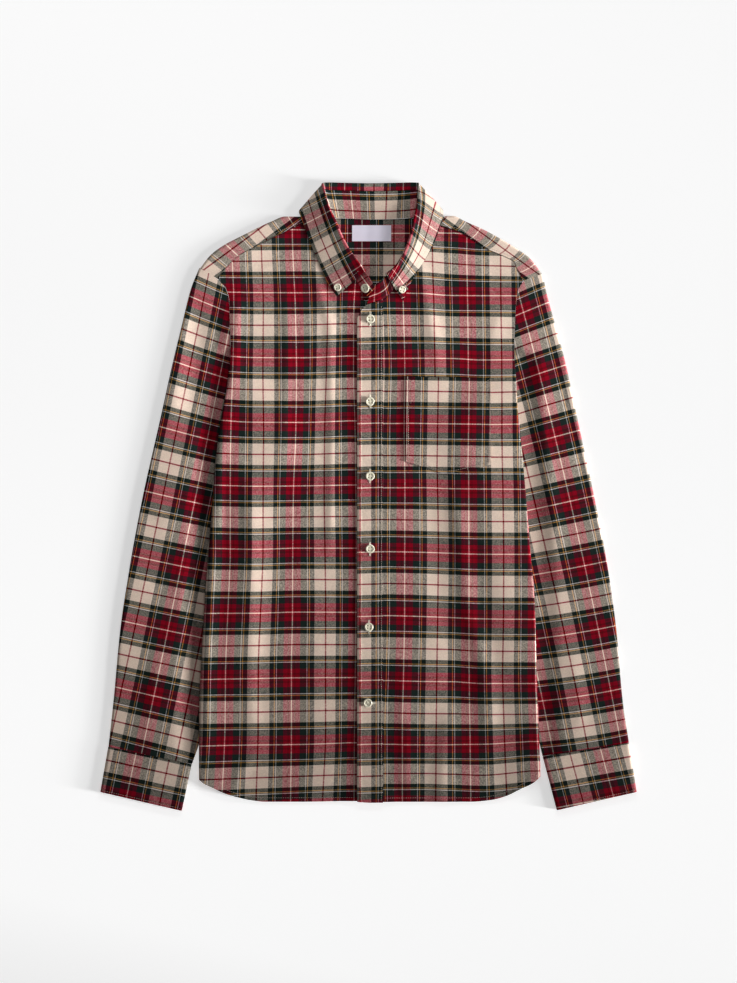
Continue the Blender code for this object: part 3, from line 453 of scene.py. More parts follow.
RIGHT_YOKE_CHECK = CheckFit(
    (54.53466, 69.3157, 21.11004, -24.52424, -18.28778, 4.67591),
    (10.41736, 6.03992, -4.35552))
INNER_YOKE_CHECK = CheckFit(
    (1.20313, 0, 6.25),
    (7.23438, 6.25, 0))
LEFT_LEAF_CHECK = CheckFit(
    (4.82736, 1.4646, -1.52581, 1.93445, -1.19388, 1.24203),
    (-4.62302, -6.12044, -0.87222, 2.85648, -3.97411, 1.09546))
RIGHT_LEAF_CHECK = CheckFit(
    (12.62453, 23.45054, 22.91493, 9.78208, -0.09542, 46.91988, 42.90288, 102.63717, 128.63849,
     86.16573),
    (-33.35772, -35.83851, 9.54212, 9.61657, 147.06133, 268.70178, 83.71743, 65.09417,
     -66.8447, -140.31088))
BACK_LEAF_CHECK = CheckFit(
    (-0.0552, 0.08514, 6.82424),
    (10.40187, 6.25, 0))
POCKET_CHECK = CheckFit(
    (-2.20612, 0.10347, 6.48787),
    (7.29175, 6.20789, -0.09727))
PLACKET_CHECK = CheckFit(
    (0.255, 0, 6),
    (7.27047, 6.21931, 0.01871, 0.18627, 0.00112, 0.02056))


# --- how the layers lie

@dataclass(frozen=True)
class Side:
    """A side of the shirt and the heights of its layers: -1 is the viewer's left, +1 the right."""

    sign: float
    outer: Rows
    sleeve: Rows
    armhole: Rows
    cuff: Rows

    @property
    def reach(self) -> tuple[Pair, ...]:
        """Columns y, x of the sleeve's hidden inner end."""
        hidden = [(y, x) for x, y in self.armhole if y < SIDE_FOLD_TOP + 1]
        return tuple(sorted(hidden + [(y, x) for _, _, x, y in self.sleeve[1:]]))

    def edge(self, y: Array | float) -> Array:
        """x of the body's outer edge at each height."""
        return through(self.outer, y)[..., 0]

    def inside(self, x: Array, y: Array) -> Array:
        """Distance of a point from the body's outer edge, towards the middle."""
        return self.sign * (self.edge(y) - x)

    def hidden_width(self, y: Array) -> Array:
        """How far the sleeve reaches in under the body at height y or a little below.

        Args:
            y: Heights up the shirt in millimetres.

        Returns:
            Widths, 0 or more.
        """
        here = self.inside(through(self.reach, y)[..., 0], y)
        below = self.inside(through(self.reach, np.asarray(y) - REACH_MARGIN)[..., 0], y)
        return np.maximum(np.maximum(here, below), 0.0)

    def turned(self, y: Array) -> Array:
        """Share of the side's turn under: 0 at the armhole, 1 lower down."""
        return smooth((SIDE_FOLD_TOP - y) / (SIDE_FOLD_TOP - SIDE_FOLD_FULL))

    def back_height(self, x: Array, y: Array) -> Array:
        """Rise of the back over the hidden part of the sleeve.

        Args:
            x: Points' x in millimetres.
            y: Their y.

        Returns:
            Rises in millimetres.
        """
        past = self.inside(x, y) - self.hidden_width(y)
        near = smooth(1.0 - (past - BACK_RISE_MARGIN) / BACK_RISE_REACH)
        return BACK_OVER_SLEEVE * near * smooth((SIDE_FOLD_TOP - y) / BACK_RISE_FADE)

    def front_height(self, x: Array, y: Array) -> Array:
        """Rise of the front over its level in the middle of the body.

        Args:
            x: Points' x in millimetres.
            y: Their y.

        Returns:
            Rises in millimetres.
        """
        inside = self.inside(x, y)
        past = np.maximum(inside - self.hidden_width(y), 0.0)
        turned = self.turned(y)
        armhole = ARMHOLE_RISE * (1.0 - turned) * smooth(1.0 - inside / ARMHOLE_REACH)
        return armhole + SIDE_RISE * turned * smooth(1.0 - past / SIDE_REACH)

    def sleeve_thickness(self, x: Array, y: Array) -> Array:
        """Thickness of the sleeve, both layers, at a point.

        Args:
            x: Points' x in millimetres.
            y: Their y.

        Returns:
            Thicknesses in millimetres.
        """
        open_shift = (LOFT_REACH + PRESSED_MARGIN) * smooth((y - LOFT_FROM_Y) / LOFT_FADE)
        outside = open_shift - self.inside(x, y) - PRESSED_MARGIN
        return SLEEVE_PRESSED + (SLEEVE_LOFT - SLEEVE_PRESSED) * smooth(outside / LOFT_REACH)


LEFT = Side(-1.0, LEFT_OUTER, LEFT_SLEEVE, LEFT_ARMHOLE, LEFT_CUFF)
RIGHT = Side(1.0, RIGHT_OUTER, RIGHT_SLEEVE, RIGHT_ARMHOLE, RIGHT_CUFF)


def hem_y(x: Array) -> Array:
    """Height of the hem at x."""
    return through(HEM, x)[..., 0]


def hem_ease(level: Array, x: Array, short: float = 0.0) -> Array:
    """Height of a row's point at x: the lowest row follows the hem, those above less and less."""
    fade = np.clip(1.0 - (level - HEM_BOTTOM) / HEM_EASE, 0.0, 1.0)
    return level + (hem_y(x) + short - HEM_BOTTOM) * fade


def front_level(side: Side, x: Array, y: Array) -> Array:
    """Middle surface of a front: at its level, lower under the placket and down at the open hem.

    Args:
        side: The front's side of the shirt.
        x: Points' x in millimetres.
        y: Their y.

    Returns:
        Heights in millimetres.
    """
    height = FRONT_LEVEL + side.front_height(x, y)
    if side is LEFT:
        lapped = smooth((x - UNDERLAP_START) / UNDERLAP_REACH)
        height = height - UNDERLAP_DROP * lapped * smooth((UNDERLAP_TOP - y) / UNDERLAP_FADE)
    lowest = FLOOR_LAYER + WALL + LAY_GAP
    near_hem = smooth(1.0 - (y - hem_y(x)) / HEM_DROP_REACH)
    off_side = smooth((side.inside(x, y) - HEM_DROP_MARGIN) / SIDE_REACH)
    off_placket = smooth((np.abs(x - PLACKET_MIDDLE) - PLACKET_HALF) / PLACKET_HALF)
    return height - HEM_DROP * (height - lowest) * near_hem * off_side * off_placket


def nearest(line: Rows, x: Array, y: Array) -> tuple[Array, Array, float]:
    """Where points lie beside a line: at the nearest point of its nearest stretch.

    Args:
        line: The line's points, as places in the photograph.
        x: The points' x in millimetres.
        y: Their y.

    Returns:
        Squared distance from the line, run along it, and its whole length.
    """
    lx, ly = plan(*np.asarray(line, float).T)
    length = np.hypot(np.diff(lx), np.diff(ly))
    run = np.concatenate([[0.0], np.cumsum(length)])
    best, place = np.full(np.shape(x), np.inf), np.zeros(np.shape(x))
    for k in range(len(length)):
        dx, dy = lx[k + 1] - lx[k], ly[k + 1] - ly[k]
        t = np.clip(((x - lx[k]) * dx + (y - ly[k]) * dy) / length[k] ** 2, 0.0, 1.0)
        distance = (x - lx[k] - t * dx) ** 2 + (y - ly[k] - t * dy) ** 2
        nearer = distance < best
        best = np.where(nearer, distance, best)
        place = np.where(nearer, run[k] + t * length[k], place)
    return best, place, float(run[-1])


@dataclass(frozen=True)
class Crease:
    """A soft trough, or a ridge where height is over 0, along a line of the photograph's places."""

    line: Rows
    height: float
    width: float
    fade: float = 0.35

    def relief(self, x: Array, y: Array) -> Array:
        """Bell across the line, exp(-(distance / width)^2), eased out over fade at both ends.

        Args:
            x: Points' x in millimetres.
            y: Their y.

        Returns:
            Heights to add.
        """
        best, place, length = nearest(self.line, x, y)
        share = place / length
        ends = smooth(share / self.fade) * smooth((1.0 - share) / self.fade)
        return self.height * np.exp(-best / self.width ** 2) * ends


@dataclass(frozen=True)
class Pucker:
    """Small ripples along a seam: sines of the run along it, under a bell of the distance."""

    line: Rows
    height: float
    wave: float
    reach: float
    sines: Rows = ((0.55, 1.0, 0.0), (0.3, 0.43, 1.0), (0.3, 1.7, 2.0))  # share, rate and start

    def relief(self, x: Array, y: Array) -> Array:
        """Height of the ripples at points in millimetres.

        Args:
            x: Points' x in millimetres.
            y: Their y.

        Returns:
            Heights to add.
        """
        best, place, _ = nearest(self.line, x, y)
        phase = 2 * math.pi * place / self.wave
        ripple = sum(share * np.sin(rate * phase + start) for share, rate, start in self.sines)
        return self.height * ripple * np.exp(-best / self.reach ** 2)


def relief(folds: Iterable[Crease | Pucker], x: Array, y: Array) -> Array:
    """Sum of a list of creases or puckers."""
    return sum(fold.relief(x, y) for fold in folds)


# --- shader nodes

def operator(operation: str, reflected: bool = False) -> Callable[["Value", Any], "Value"]:
    """Make an operator of Value.

    Args:
        operation: The Math node's operation.
        reflected: Whether the value is the second operand, as in 1 - mask.

    Returns:
        A method that adds the Math node.
    """
    def apply(self: "Value", other: Any) -> "Value":
        """Add the node, with the operands in Python's order."""
        first, second = (Value(self.tree, other), self) if reflected else (self, other)
        return first.math(operation, second)

    return apply


class Value:
    """A shader socket, or a number, that Python's operators can be used on."""

    def __init__(self, tree: "NodeTree", socket: Any) -> None:
        """Keep the tree and the socket or number."""
        self.tree = tree
        self.socket = socket

    def math(self, operation: str, *others: Any) -> "Value":
        """Add a Math node that works on this value and the others."""
        inputs = dict(enumerate([self, *others]))
        return self.tree.node("ShaderNodeMath", {"operation": operation}, inputs)

    __add__ = __radd__ = operator("ADD")
    __mul__ = __rmul__ = operator("MULTIPLY")
    __sub__, __rsub__ = operator("SUBTRACT"), operator("SUBTRACT", True)
    __truediv__, __rtruediv__ = operator("DIVIDE"), operator("DIVIDE", True)
    pingpong = operator("PINGPONG")  # folded to and fro between 0 and a size
    least = operator("MINIMUM")  # the value where it is under a limit, or else the limit

    def sine(self) -> "Value":
        """Sine of the value in radians."""
        return self.math("SINE")

    def other(self, output: int | str) -> "Value":
        """Another output of the same node."""
        return Value(self.tree, self.socket.node.outputs[output])


class NodeTree:
    """A material's nodes, added through one method."""

    def __init__(self, name: str) -> None:
        """Make a material of this name, with its Principled shader only.

        Args:
            name: The material's name.
        """
        self.material = bpy.data.materials.new(name)
        self.material.use_nodes = True
        self.tree = self.material.node_tree
        self.shader = self.tree.nodes["Principled BSDF"]

    def link(self, value: Any, socket: bpy.types.NodeSocket) -> None:
        """Feed a socket from a value, a socket or a constant.

        Args:
            value: What feeds it.
            socket: The node's input.
        """
        while isinstance(value, Value):
            value = value.socket
        if isinstance(value, bpy.types.NodeSocket):
            self.tree.links.new(value, socket)
        elif hasattr(socket.default_value, "__len__") and len(socket.default_value) == 4:
            socket.default_value = (*value[:3], 1.0)
        else:
            socket.default_value = value

    def node(self, kind: str, settings: dict[str, Any] | None = None,
             inputs: dict[Any, Any] | None = None, output: Any = 0) -> Value:
        """Add a node.

        Args:
            kind: The node's type.
            settings: Its properties, set before its sockets; stops fills a colour ramp.
            inputs: Values or links, by the socket's name or number.
            output: Name or number of the output wanted.

        Returns:
            The output as a value.
        """
        node = self.tree.nodes.new(kind)
        for key, setting in (settings or {}).items():
            if key == "stops":
                self._fill(node.color_ramp, setting)
            elif key == "interpolation" and hasattr(node, "color_ramp"):
                node.color_ramp.interpolation = setting
            else:
                setattr(node, key, setting)
        for key, value in (inputs or {}).items():
            self.link(value, node.inputs[key])
        return Value(self, node.outputs[output])

    @staticmethod
    def _fill(ramp: bpy.types.ColorRamp, stops: Sequence[tuple[float, tuple[float, ...]]]) -> None:
        """Set a colour ramp's stops.

        Args:
            ramp: The ramp.
            stops: Place and colour with alpha of each.
        """
        while len(ramp.elements) > 1:
            ramp.elements.remove(ramp.elements[-1])
        for k, (place, colour) in enumerate(stops):
            stop = ramp.elements[0] if k == 0 else ramp.elements.new(place)
            stop.position = place
            stop.color = colour

    def mix(self, share: Any, first: Any, second: Any) -> Value:
        """Blend two colours."""
        return self.node("ShaderNodeMix", {"data_type": "RGBA"},
                         {0: share, 6: first, 7: second}, 2)

    def scale(self, colour: Any, factor: Any) -> Value:
        """Colour times a number."""
        return self.node("ShaderNodeVectorMath", {"operation": "SCALE"},
                         {0: colour, "Scale": factor})

    def place(self) -> Value:
        """Place on the object, in metres."""
        return self.node("ShaderNodeTexCoord", output="Object")

    def noise(self, place: Value, size: float, detail: float, **more: float) -> Value:
        """Noise between 0 and 1, with size spots to the metre."""
        inputs = {"Vector": place, "Scale": size, "Detail": detail} | more
        return self.node("ShaderNodeTexNoise", inputs=inputs)

    def bump(self, strength: float, distance: float, height: Value) -> Value:
        """Normal of a surface raised by a height times a distance in metres."""
        inputs = {"Strength": strength, "Distance": distance, "Height": height}
        return self.node("ShaderNodeBump", inputs=inputs)

    def finish(self, settings: dict[str, Any], inputs: dict[str, Any]) -> Material:
        """Set the shader's constants and links.

        Args:
            settings: Its constants, by the socket's name.
            inputs: Values for its sockets that change over the surface.

        Returns:
            The material.
        """
        for key, value in settings.items():
            self.shader.inputs[key].default_value = value
        for key, value in inputs.items():
            self.link(value, self.shader.inputs[key])
        return self.material


@dataclass(frozen=True)
class Stripe:
    """One stripe of the check: its end in the half repeat, its yarn's colour and its strength."""

    end: float
    colour: tuple[int, int, int]
    strength: float


# From the cream band's middle to the red band's middle, in pixels of the photograph.
WARP_STRIPES = (
    Stripe(0.75, (88, 0, 12), 0.66), Stripe(10.7, (190, 165, 152), 0.46),
    Stripe(15.1, (31, 34, 36), 0.62), Stripe(15.95, (196, 132, 62), 0.58),
    Stripe(17.15, (26, 30, 30), 0.58), Stripe(17.9, (186, 178, 178), 0.60),
    Stripe(24.2, (34, 38, 36), 0.58), Stripe(28.2, (108, 6, 29), 0.56),
    Stripe(29.7, (77, 14, 22), 0.56), Stripe(31.6, (105, 8, 28), 0.54),
    Stripe(HALF_SETT, (228, 206, 190), 0.47),
)
WEFT_STRIPES = (
    Stripe(0.75, (104, 0, 16), 0.58), Stripe(10.7, (225, 207, 188), 0.64),
    Stripe(14.8, (11, 28, 23), 0.50), Stripe(15.7, (188, 138, 68), 0.66),
    Stripe(16.45, (10, 20, 22), 0.50), Stripe(17.3, (206, 204, 202), 0.96),
    Stripe(18.2, (6, 14, 16), 0.56),
    Stripe(23.3, (18, 37, 33), 0.46), Stripe(27.2, (134, 0, 27), 0.45),
    Stripe(29.2, (84, 4, 15), 0.49), Stripe(31.6, (127, 0, 22), 0.53),
    Stripe(HALF_SETT, (250, 226, 208), 0.84),
)


@dataclass(frozen=True)
class TartanCloth:
    """Basket-woven cotton in a tartan check, laid out by each piece's own map of half repeats.

    The map's x counts the warp's half repeats and its y the weft's, so folding each to and fro
    between 0 and 1 gives the place between the cream band's middle and the red band's. A ramp
    gives the stripe's colour, with its strength as alpha; warp and weft mix by their strengths.
    """

    name: str
    thread: float = 0.45  # spacing of the threads, mm
    gamma: float = 2.2  # the yarns' colours are mixed as they are seen
    mottle: float = 0.15  # change of tone over spots of a centimetre and in the slubs
    pepper: float = 0.72  # how much the weave lets one yarn or the other show
    twill: float = 0.06  # how much a thread that lies over shows more
    weave: float = 640.0  # spots to the metre of the finest grain
    slub: float = 620.0  # and of the thick places in the yarns
    bump: float = 0.25
    roughness: float = 0.9

    @staticmethod
    def _ramp(tree: NodeTree, place: Value, stripes: Sequence[Stripe]) -> tuple[Value, Value]:
        """Colour and strength of the stripe at a place in the half repeat.

        Args:
            tree: The material's nodes.
            place: Where, from 0 to 1.
            stripes: The warp's or the weft's.

        Returns:
            Colour and strength.
        """
        starts = [0.0] + [stripe.end / HALF_SETT for stripe in stripes[:-1]]
        stops = [(start, (*(c / 255.0 for c in stripe.colour), stripe.strength))
                 for start, stripe in zip(starts, stripes)]
        ramp = tree.node("ShaderNodeValToRGB", {"stops": stops, "interpolation": "CONSTANT"},
                         {0: place})
        return ramp, ramp.other("Alpha")

    def make(self) -> Material:
        """Make the material: two ramps, woven over and under by the sine of both counts.

        Returns:
            The material.
        """
        tree = NodeTree(self.name)
        across = tree.node("ShaderNodeSeparateXYZ",
                           inputs={0: tree.node("ShaderNodeUVMap", {"uv_map": "cloth"})})
        up = across.other(1)
        warp, warp_strength = self._ramp(tree, across.pingpong(1.0), WARP_STRIPES)
        weft, weft_strength = self._ramp(tree, up.pingpong(1.0), WEFT_STRIPES)
        turns = math.pi * HALF_SETT * PIXEL / self.thread
        over = (across * turns).sine() * (up * turns).sine()
        share = weft_strength / (weft_strength + warp_strength)
        place = tree.place()
        weave = tree.noise(place, self.weave, 1.0)
        yarns = tree.mix(share + self.twill * over + (weave - 0.5) * self.pepper, warp, weft)
        linear = tree.node("ShaderNodeGamma", inputs={0: yarns, 1: self.gamma})
        soft, slub = tree.noise(place, 90.0, 3.0), tree.noise(place, self.slub, 2.0)
        tone = (soft - 0.5) * self.mottle + (slub - 0.5) * (2.0 * self.mottle) + 1.0
        normal = tree.bump(self.bump, 0.00025, over * 0.5 + (slub - 0.5) * 1.2)
        return tree.finish({"Roughness": self.roughness, "Specular IOR Level": 0.06,
                            "Sheen Weight": 0.01, "Sheen Roughness": 0.5},
                           {"Base Color": tree.scale(linear, tone + over * 0.03),
                            "Normal": normal})


@dataclass(frozen=True)
class Thread:
    """Matt sewing thread, with a twist along it and a little change of tone."""

    name: str
    colour: Colour

    def make(self) -> Material:
        """Make the material.

        Returns:
            The material.
        """
        tree = NodeTree(self.name)
        twist = tree.noise(tree.place(), 900.0, 2.0)
        return tree.finish({"Roughness": 0.75},
                           {"Base Color": tree.scale(self.colour, 0.85 + twist * 0.3),
                            "Normal": tree.bump(0.4, 0.0001, twist)})


@dataclass(frozen=True)
class LabelSatin:
    """Plain woven label: fine ribs across it and a soft change of tone."""

    name: str
    colour: Colour
    rib: float = 0.5  # mm

    def make(self) -> Material:
        """Make the material.

        Returns:
            The material.
        """
        tree = NodeTree(self.name)
        place = tree.place()
        up = tree.node("ShaderNodeSeparateXYZ", inputs={0: place}).other(1)
        rib = (up * (2.0 * math.pi / (self.rib * MM))).sine()
        soft = tree.noise(place, 160.0, 4.0)
        return tree.finish({"Roughness": 0.55},
                           {"Base Color": tree.scale(self.colour, 0.96 + rib * 0.02 + soft * 0.06),
                            "Normal": tree.bump(0.3, 0.0001, rib * 0.5 + soft)})


@dataclass(frozen=True)
class PearlyPlastic:
    """Ivory shirt-button plastic with faint cloudy streaks."""

    name: str
    light: Colour
    dark: Colour

    def make(self) -> Material:
        """Make the material.

        Returns:
            The material.
        """
        tree = NodeTree(self.name)
        cloud = tree.noise(tree.place(), 140.0, 5.0, Distortion=1.4)
        return tree.finish({"Coat Weight": 0.3, "Coat Roughness": 0.15},
                           {"Base Color": tree.mix(cloud, self.dark, self.light),
                            "Roughness": 0.28 + cloud * 0.12,
                            "Normal": tree.bump(0.1, 0.0001, cloud)})


@dataclass(frozen=True)
class StudioPaper:
    """Pale matt floor that glows a little, as a light table does, with a barely visible grain.

    Its tone rises where the lamps give it less light, so that it looks even from above.
    """

    name: str
    sky: float  # light on the floor from the sky
    key: float  # the most that the key lamp gives it
    lamp: float  # light under the small lamp, times the reach ^ 4
    foot: Pair
    reach: float  # a little over that lamp's height, because it is broad
    key_slope: float = 0.09  # of the key light along X
    key_line: Pair = (0.155, -0.186)  # its brightest line, Y = first + second X
    key_width: float = 1.372
    level: float = 0.947  # how bright the floor looks
    glow: float = 0.55  # the share of it that the floor gives itself
    tone_limit: float = 2.4

    def make(self) -> Material:
        """Make the material: tone = level / (sky + key light + lamp / (reach^2 + distance^2)^2).

        The key light is key (1 + slope X) / (1 + (distance from its line / width)^2)^4.

        Returns:
            The material.
        """
        tree = NodeTree(self.name)
        place = tree.place()
        x = tree.node("ShaderNodeSeparateXYZ", inputs={0: place})
        y = x.other(1)
        across, up = x - self.foot[0], y - self.foot[1]
        squares = across * across + up * up + self.reach ** 2
        off_line = (y - x * self.key_line[1] - self.key_line[0]) / self.key_width
        bell = off_line * off_line + 1.0
        twice = bell * bell
        key = (x * self.key_slope + 1.0) * self.key / (twice * twice)
        light = key + self.sky + self.lamp / (squares * squares)
        tone = (self.level / light).least(self.tone_limit)
        grain = tree.noise(place, 9.0, 3.0)
        paper = tree.scale((1.0, 1.0, 1.0), tone * (0.999 + grain * 0.002) * (1.0 - self.glow))
        glow = self.level * self.glow
        return tree.finish({"Roughness": 1.0, "Specular IOR Level": 0.0, "Emission Strength": 1.0,
                            "Emission Color": (glow, glow, glow, 1.0)}, {"Base Color": paper})


# --- meshes

def normals(grid: Array, closed: bool) -> Array:
    """Unit normals of a grid of points: columns' tangent crossed with rows' tangent.

    Args:
        grid: Rows of points.
        closed: Whether the columns run round a tube.

    Returns:
        Normals, shaped as the grid.
    """
    if closed:
        wrapped = np.concatenate([grid[:, -1:], grid, grid[:, :1]], axis=1)
        across = wrapped[:, 2:] - wrapped[:, :-2]
    else:
        across = np.gradient(grid, axis=1)
    return unit_length(np.cross(across, np.gradient(grid, axis=0)))


def quads(rows: int, columns: int, closed: bool = False) -> Array:
    """Faces of a grid of points that is numbered row by row.

    Args:
        rows: How many rows of points.
        columns: Points in a row.
        closed: Whether a row's last point joins its first.

    Returns:
        Rows of four point numbers.
    """
    index = np.arange(rows * columns).reshape(rows, columns)
    if closed:
        index = np.concatenate([index, index[:, :1]], axis=1)
    return np.stack([index[:-1, :-1], index[:-1, 1:], index[1:, 1:], index[1:, :-1]],
                    -1).reshape(-1, 4)


def gathered(parts: Iterable[Part]) -> Part:
    """One mesh of many: all their points in a row, and their faces with the numbers moved on.

    Args:
        parts: Points and faces of each.

    Returns:
        Points and faces of the whole.
    """
    points, faces = zip(*parts)
    starts = np.cumsum([0] + [len(part) for part in points[:-1]])
    return np.concatenate(points), np.concatenate([f + start for f, start in zip(faces, starts)])


def put_mesh(name: str, part: Part, material: Material, corners: Array | None = None,
             sharp: float = 50.0) -> Piece:
    """Make an object of a mesh.

    Args:
        name: The object's name.
        part: Its vertices in millimetres, and its quads as rows of four vertex numbers.
        material: Its finish.
        corners: Check counts for every corner of every face, or None.
        sharp: Angle in degrees over which an edge isn't shaded smooth.

    Returns:
        The object, at the origin.
    """
    points, faces = part
    mesh = bpy.data.meshes.new(name)
    mesh.vertices.add(len(points))
    mesh.vertices.foreach_set("co", (points * MM).astype(np.float32).ravel())
    mesh.loops.add(faces.size)
    mesh.loops.foreach_set("vertex_index", faces.astype(np.int32).ravel())
    mesh.polygons.add(len(faces))
    mesh.polygons.foreach_set("loop_start", np.arange(0, faces.size, 4, dtype=np.int32))
    mesh.update(calc_edges=True)
    if corners is not None:
        layer = mesh.uv_layers.new(name="cloth")
        layer.data.foreach_set("uv", corners.astype(np.float32).ravel())
    mesh.validate()
    mesh.shade_smooth()
    mesh.set_sharp_from_angle(angle=math.radians(sharp))
    mesh.materials.append(material)
    obj = bpy.data.objects.new(name, mesh)
    bpy.context.scene.collection.objects.link(obj)
    return obj


@dataclass
class Shell:
    """A sheet of cloth: its middle surface moved out and in by half its thickness.

    The grid holds rows of points; columns crossed with rows point out. The piece is named for the
    CAD node that it stands for.
    """

    node: str
    grid: Array
    check: Array
    zone: Array | None = None
    thickness: float = CLOTH
    closed: bool = False

    def _rim(self, line: Array) -> Array:
        """Quads of a rim, from its edge's vertices in order to the same ones of the inner face."""
        count = self.grid.shape[0] * self.grid.shape[1]
        return np.stack([line[:-1], line[1:], line[1:] + count, line[:-1] + count], -1)

    def build(self, material: Material) -> Piece:
        """Make the closed mesh.

        Args:
            material: Its finish.

        Returns:
            The piece.
        """
        rows, columns = self.grid.shape[:2]
        offset = normals(self.grid, self.closed) * self.thickness / 2
        points = np.concatenate([(self.grid + offset).reshape(-1, 3),
                                 (self.grid - offset).reshape(-1, 3)])
        check = self.check if self.check.ndim == 4 else self.check[None]
        cells = columns if self.closed else columns - 1
        zone = np.zeros((rows - 1, cells), int) if self.zone is None else self.zone
        outer = quads(rows, columns, self.closed)
        corner_i, corner_j = np.divmod(quads(rows, cells + 1), cells + 1)
        outer_check = check[zone.reshape(-1, 1), corner_i, corner_j]
        index = np.arange(rows * columns).reshape(rows, columns)
        if self.closed:
            index = np.concatenate([index, index[:, :1]], axis=1)
        rims = [self._rim(index[0, ::-1]), self._rim(index[-1])]
        cell = np.arange(cells)
        low = np.stack([check[zone[0], 0, cell + 1], check[zone[0], 0, cell]], 1)[::-1]
        high = np.stack([check[zone[-1], -1, cell], check[zone[-1], -1, cell + 1]], 1)
        rim_check = [low, high]
        if not self.closed:
            row = np.arange(rows - 1)
            rims += [self._rim(index[:, 0]), self._rim(index[::-1, -1])]
            left = np.stack([check[zone[:, 0], row, 0], check[zone[:, 0], row + 1, 0]], 1)
            right = np.stack([check[zone[:, -1], row + 1, -1], check[zone[:, -1], row, -1]], 1)
            rim_check += [left, right[::-1]]
        faces = np.concatenate([outer, outer[:, ::-1] + rows * columns] + rims)
        pairs = np.concatenate(rim_check)
        corners = np.concatenate([outer_check, outer_check[:, ::-1],
                                  pairs[:, [0, 1, 1, 0]]])
        return put_mesh(self.node + "_cloth", (points, faces), material, corners)

    def lay(self, material: Material, flat: Pair,
            *rests_on: str, slot: str = "plaid_cloth") -> Piece:
        """Args:
            material: Its finish.
            flat: Width and length of its cut, in metres; its area is at most their product. Not used.
            rests_on: What it lies on; not used.
            slot: A material slot's name, passed on to declare.

        Returns:
            The piece.
        """
        piece = declare(self.build(material), slot, self.node)
        return piece


def declare(piece: Piece, slot: str, *nodes: str) -> Piece:
    """Let a piece stand for CAD nodes, hiding their solids, and ride on the shirt.

    Args:
        piece: The piece.
        slot: The material slot; not used.
        nodes: The CAD nodes, or none.

    Returns:
        The piece.
    """
    if nodes:
        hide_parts(*nodes)
    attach(piece, "root")
    log.info("%s: %d faces", piece.name, len(piece.data.polygons))
    return piece


# --- folds seen in the photograph

CREASE_SHARE = 0.65
PUCKER_SHARE = 0.75
FRONT_CREASES = (
    Crease(((278, 240), (285, 285), (288, 340), (284, 430), (282, 520)), 1.6, 8),
    Crease(((303, 240), (317, 280), (330, 325), (332, 440), (330, 570)),
           1.9, 7, 0.15),
    Crease(((250, 455), (252, 600), (251, 765)), 2.6, 11, 0.2),
    Crease(((226, 455), (224, 600), (222, 770)), -0.9, 10, 0.2),
    Crease(((237, 292), (236, 340), (232, 400)), 2.4, 7, 0.2),
    Crease(((231, 395), (222, 455), (219, 499), (211.5, 600), (208, 656),
            (206.5, 775)), 2, 6, 0.12),
    Crease(((300, 560), (296, 680), (300, 800)), -0.9, 16, 0.3),
    Crease(((225, 815), (240, 770), (268, 740)), 1.6, 8),
    Crease(((411, 235), (425, 290), (433, 333), (443, 395)), 2.3, 9),
    Crease(((398, 250), (410, 290), (416, 333), (424, 385)), -0.9, 8),
    Crease(((446, 272), (473, 291)), 1.2, 4.5),
    Crease(((452, 460), (468, 607), (485, 673), (491, 765)), 3.1, 12, 0.2),
    Crease(((424, 460), (440, 607), (456, 673), (461, 750)), -1, 12, 0.25),
    Crease(((452, 700), (444, 760), (440, 850)), 2.2, 12, 0.2),
    Crease(((500, 300), (492, 345), (496, 372)), 1.3, 9),
    Crease(((400, 640), (404, 720), (410, 830)), 1.6, 9, 0.3),
)
SLEEVE_CREASES = (
    Crease(((201, 288), (199, 340), (194, 400), (191, 440)), -3.9, 17, 0.25),
    Crease(((219, 285), (217, 340), (211, 400), (204, 455), (199, 499),
            (193, 600), (190, 656), (187, 725)), -2.2, 9, 0.08),
    Crease(((180, 300), (176, 380), (168, 450)), 1.2, 10),
    Crease(((146, 505), (165, 520), (190, 512)), 1.2, 7),
    Crease(((139, 570), (160, 590), (182, 585)), -1, 8),
    Crease(((160, 640), (150, 700), (148, 748)), 1.3, 9),
    Crease(((534, 300), (556, 370), (576, 433), (594, 527)), -1.4, 9),
    Crease(((536, 330), (546, 440), (555, 530), (564, 600)), 1.7, 9),
    Crease(((572, 560), (592, 580), (608, 570)), 1.1, 7),
    Crease(((570, 640), (578, 700), (580, 745)), 1.3, 9),
)
PUCKERS = (
    Pucker(((217, 279), (226, 287), (229, 300), (230, 335), (230, 370)),
           0.45, 8, 9),
    Pucker(((524, 282), (518, 290), (516, 300), (515, 323), (514, 370)),
           0.40, 8, 9),
    Pucker(((302, 225), (281, 234), (259, 245), (239, 256), (217, 278.4)),
           0.20, 7, 6),
    Pucker(((441, 228), (471, 240), (488, 251), (514, 262), (522, 282)),
           0.20, 7, 6),
    Pucker(((210.7, 786.6), (226, 793.6), (251, 800.6), (355, 801.3), (471, 802),
            (506, 796), (534, 782)), 0.22, 9, 7),
)


def front_relief(x: Array, y: Array) -> Array:
    """Creases and puckers of the fronts and of what is sewn on them."""
    return CREASE_SHARE * relief(FRONT_CREASES, x, y) + PUCKER_SHARE * relief(PUCKERS, x, y)


def sleeve_relief(x: Array, y: Array) -> Array:
    """Creases and puckers of the sleeves' upper layers."""
    return CREASE_SHARE * relief(SLEEVE_CREASES, x, y) + PUCKER_SHARE * relief(PUCKERS[:2], x, y)


# --- body

def shares(first: int, second: int, split: Array, end: Array) -> Array:
    """Runs of rows of points: evenly from 0 to split, then evenly to end.

    Args:
        first: Points up to split and its own.
        second: Points from there to end.
        split: Run to the change, one a row.
        end: Run to the end, one a row.

    Returns:
        Runs, one row for each split.
    """
    near = split[:, None] * unit(first)[:-1]
    far = split[:, None] + (end - split)[:, None] * unit(second)
    return np.concatenate([near, far], axis=1)


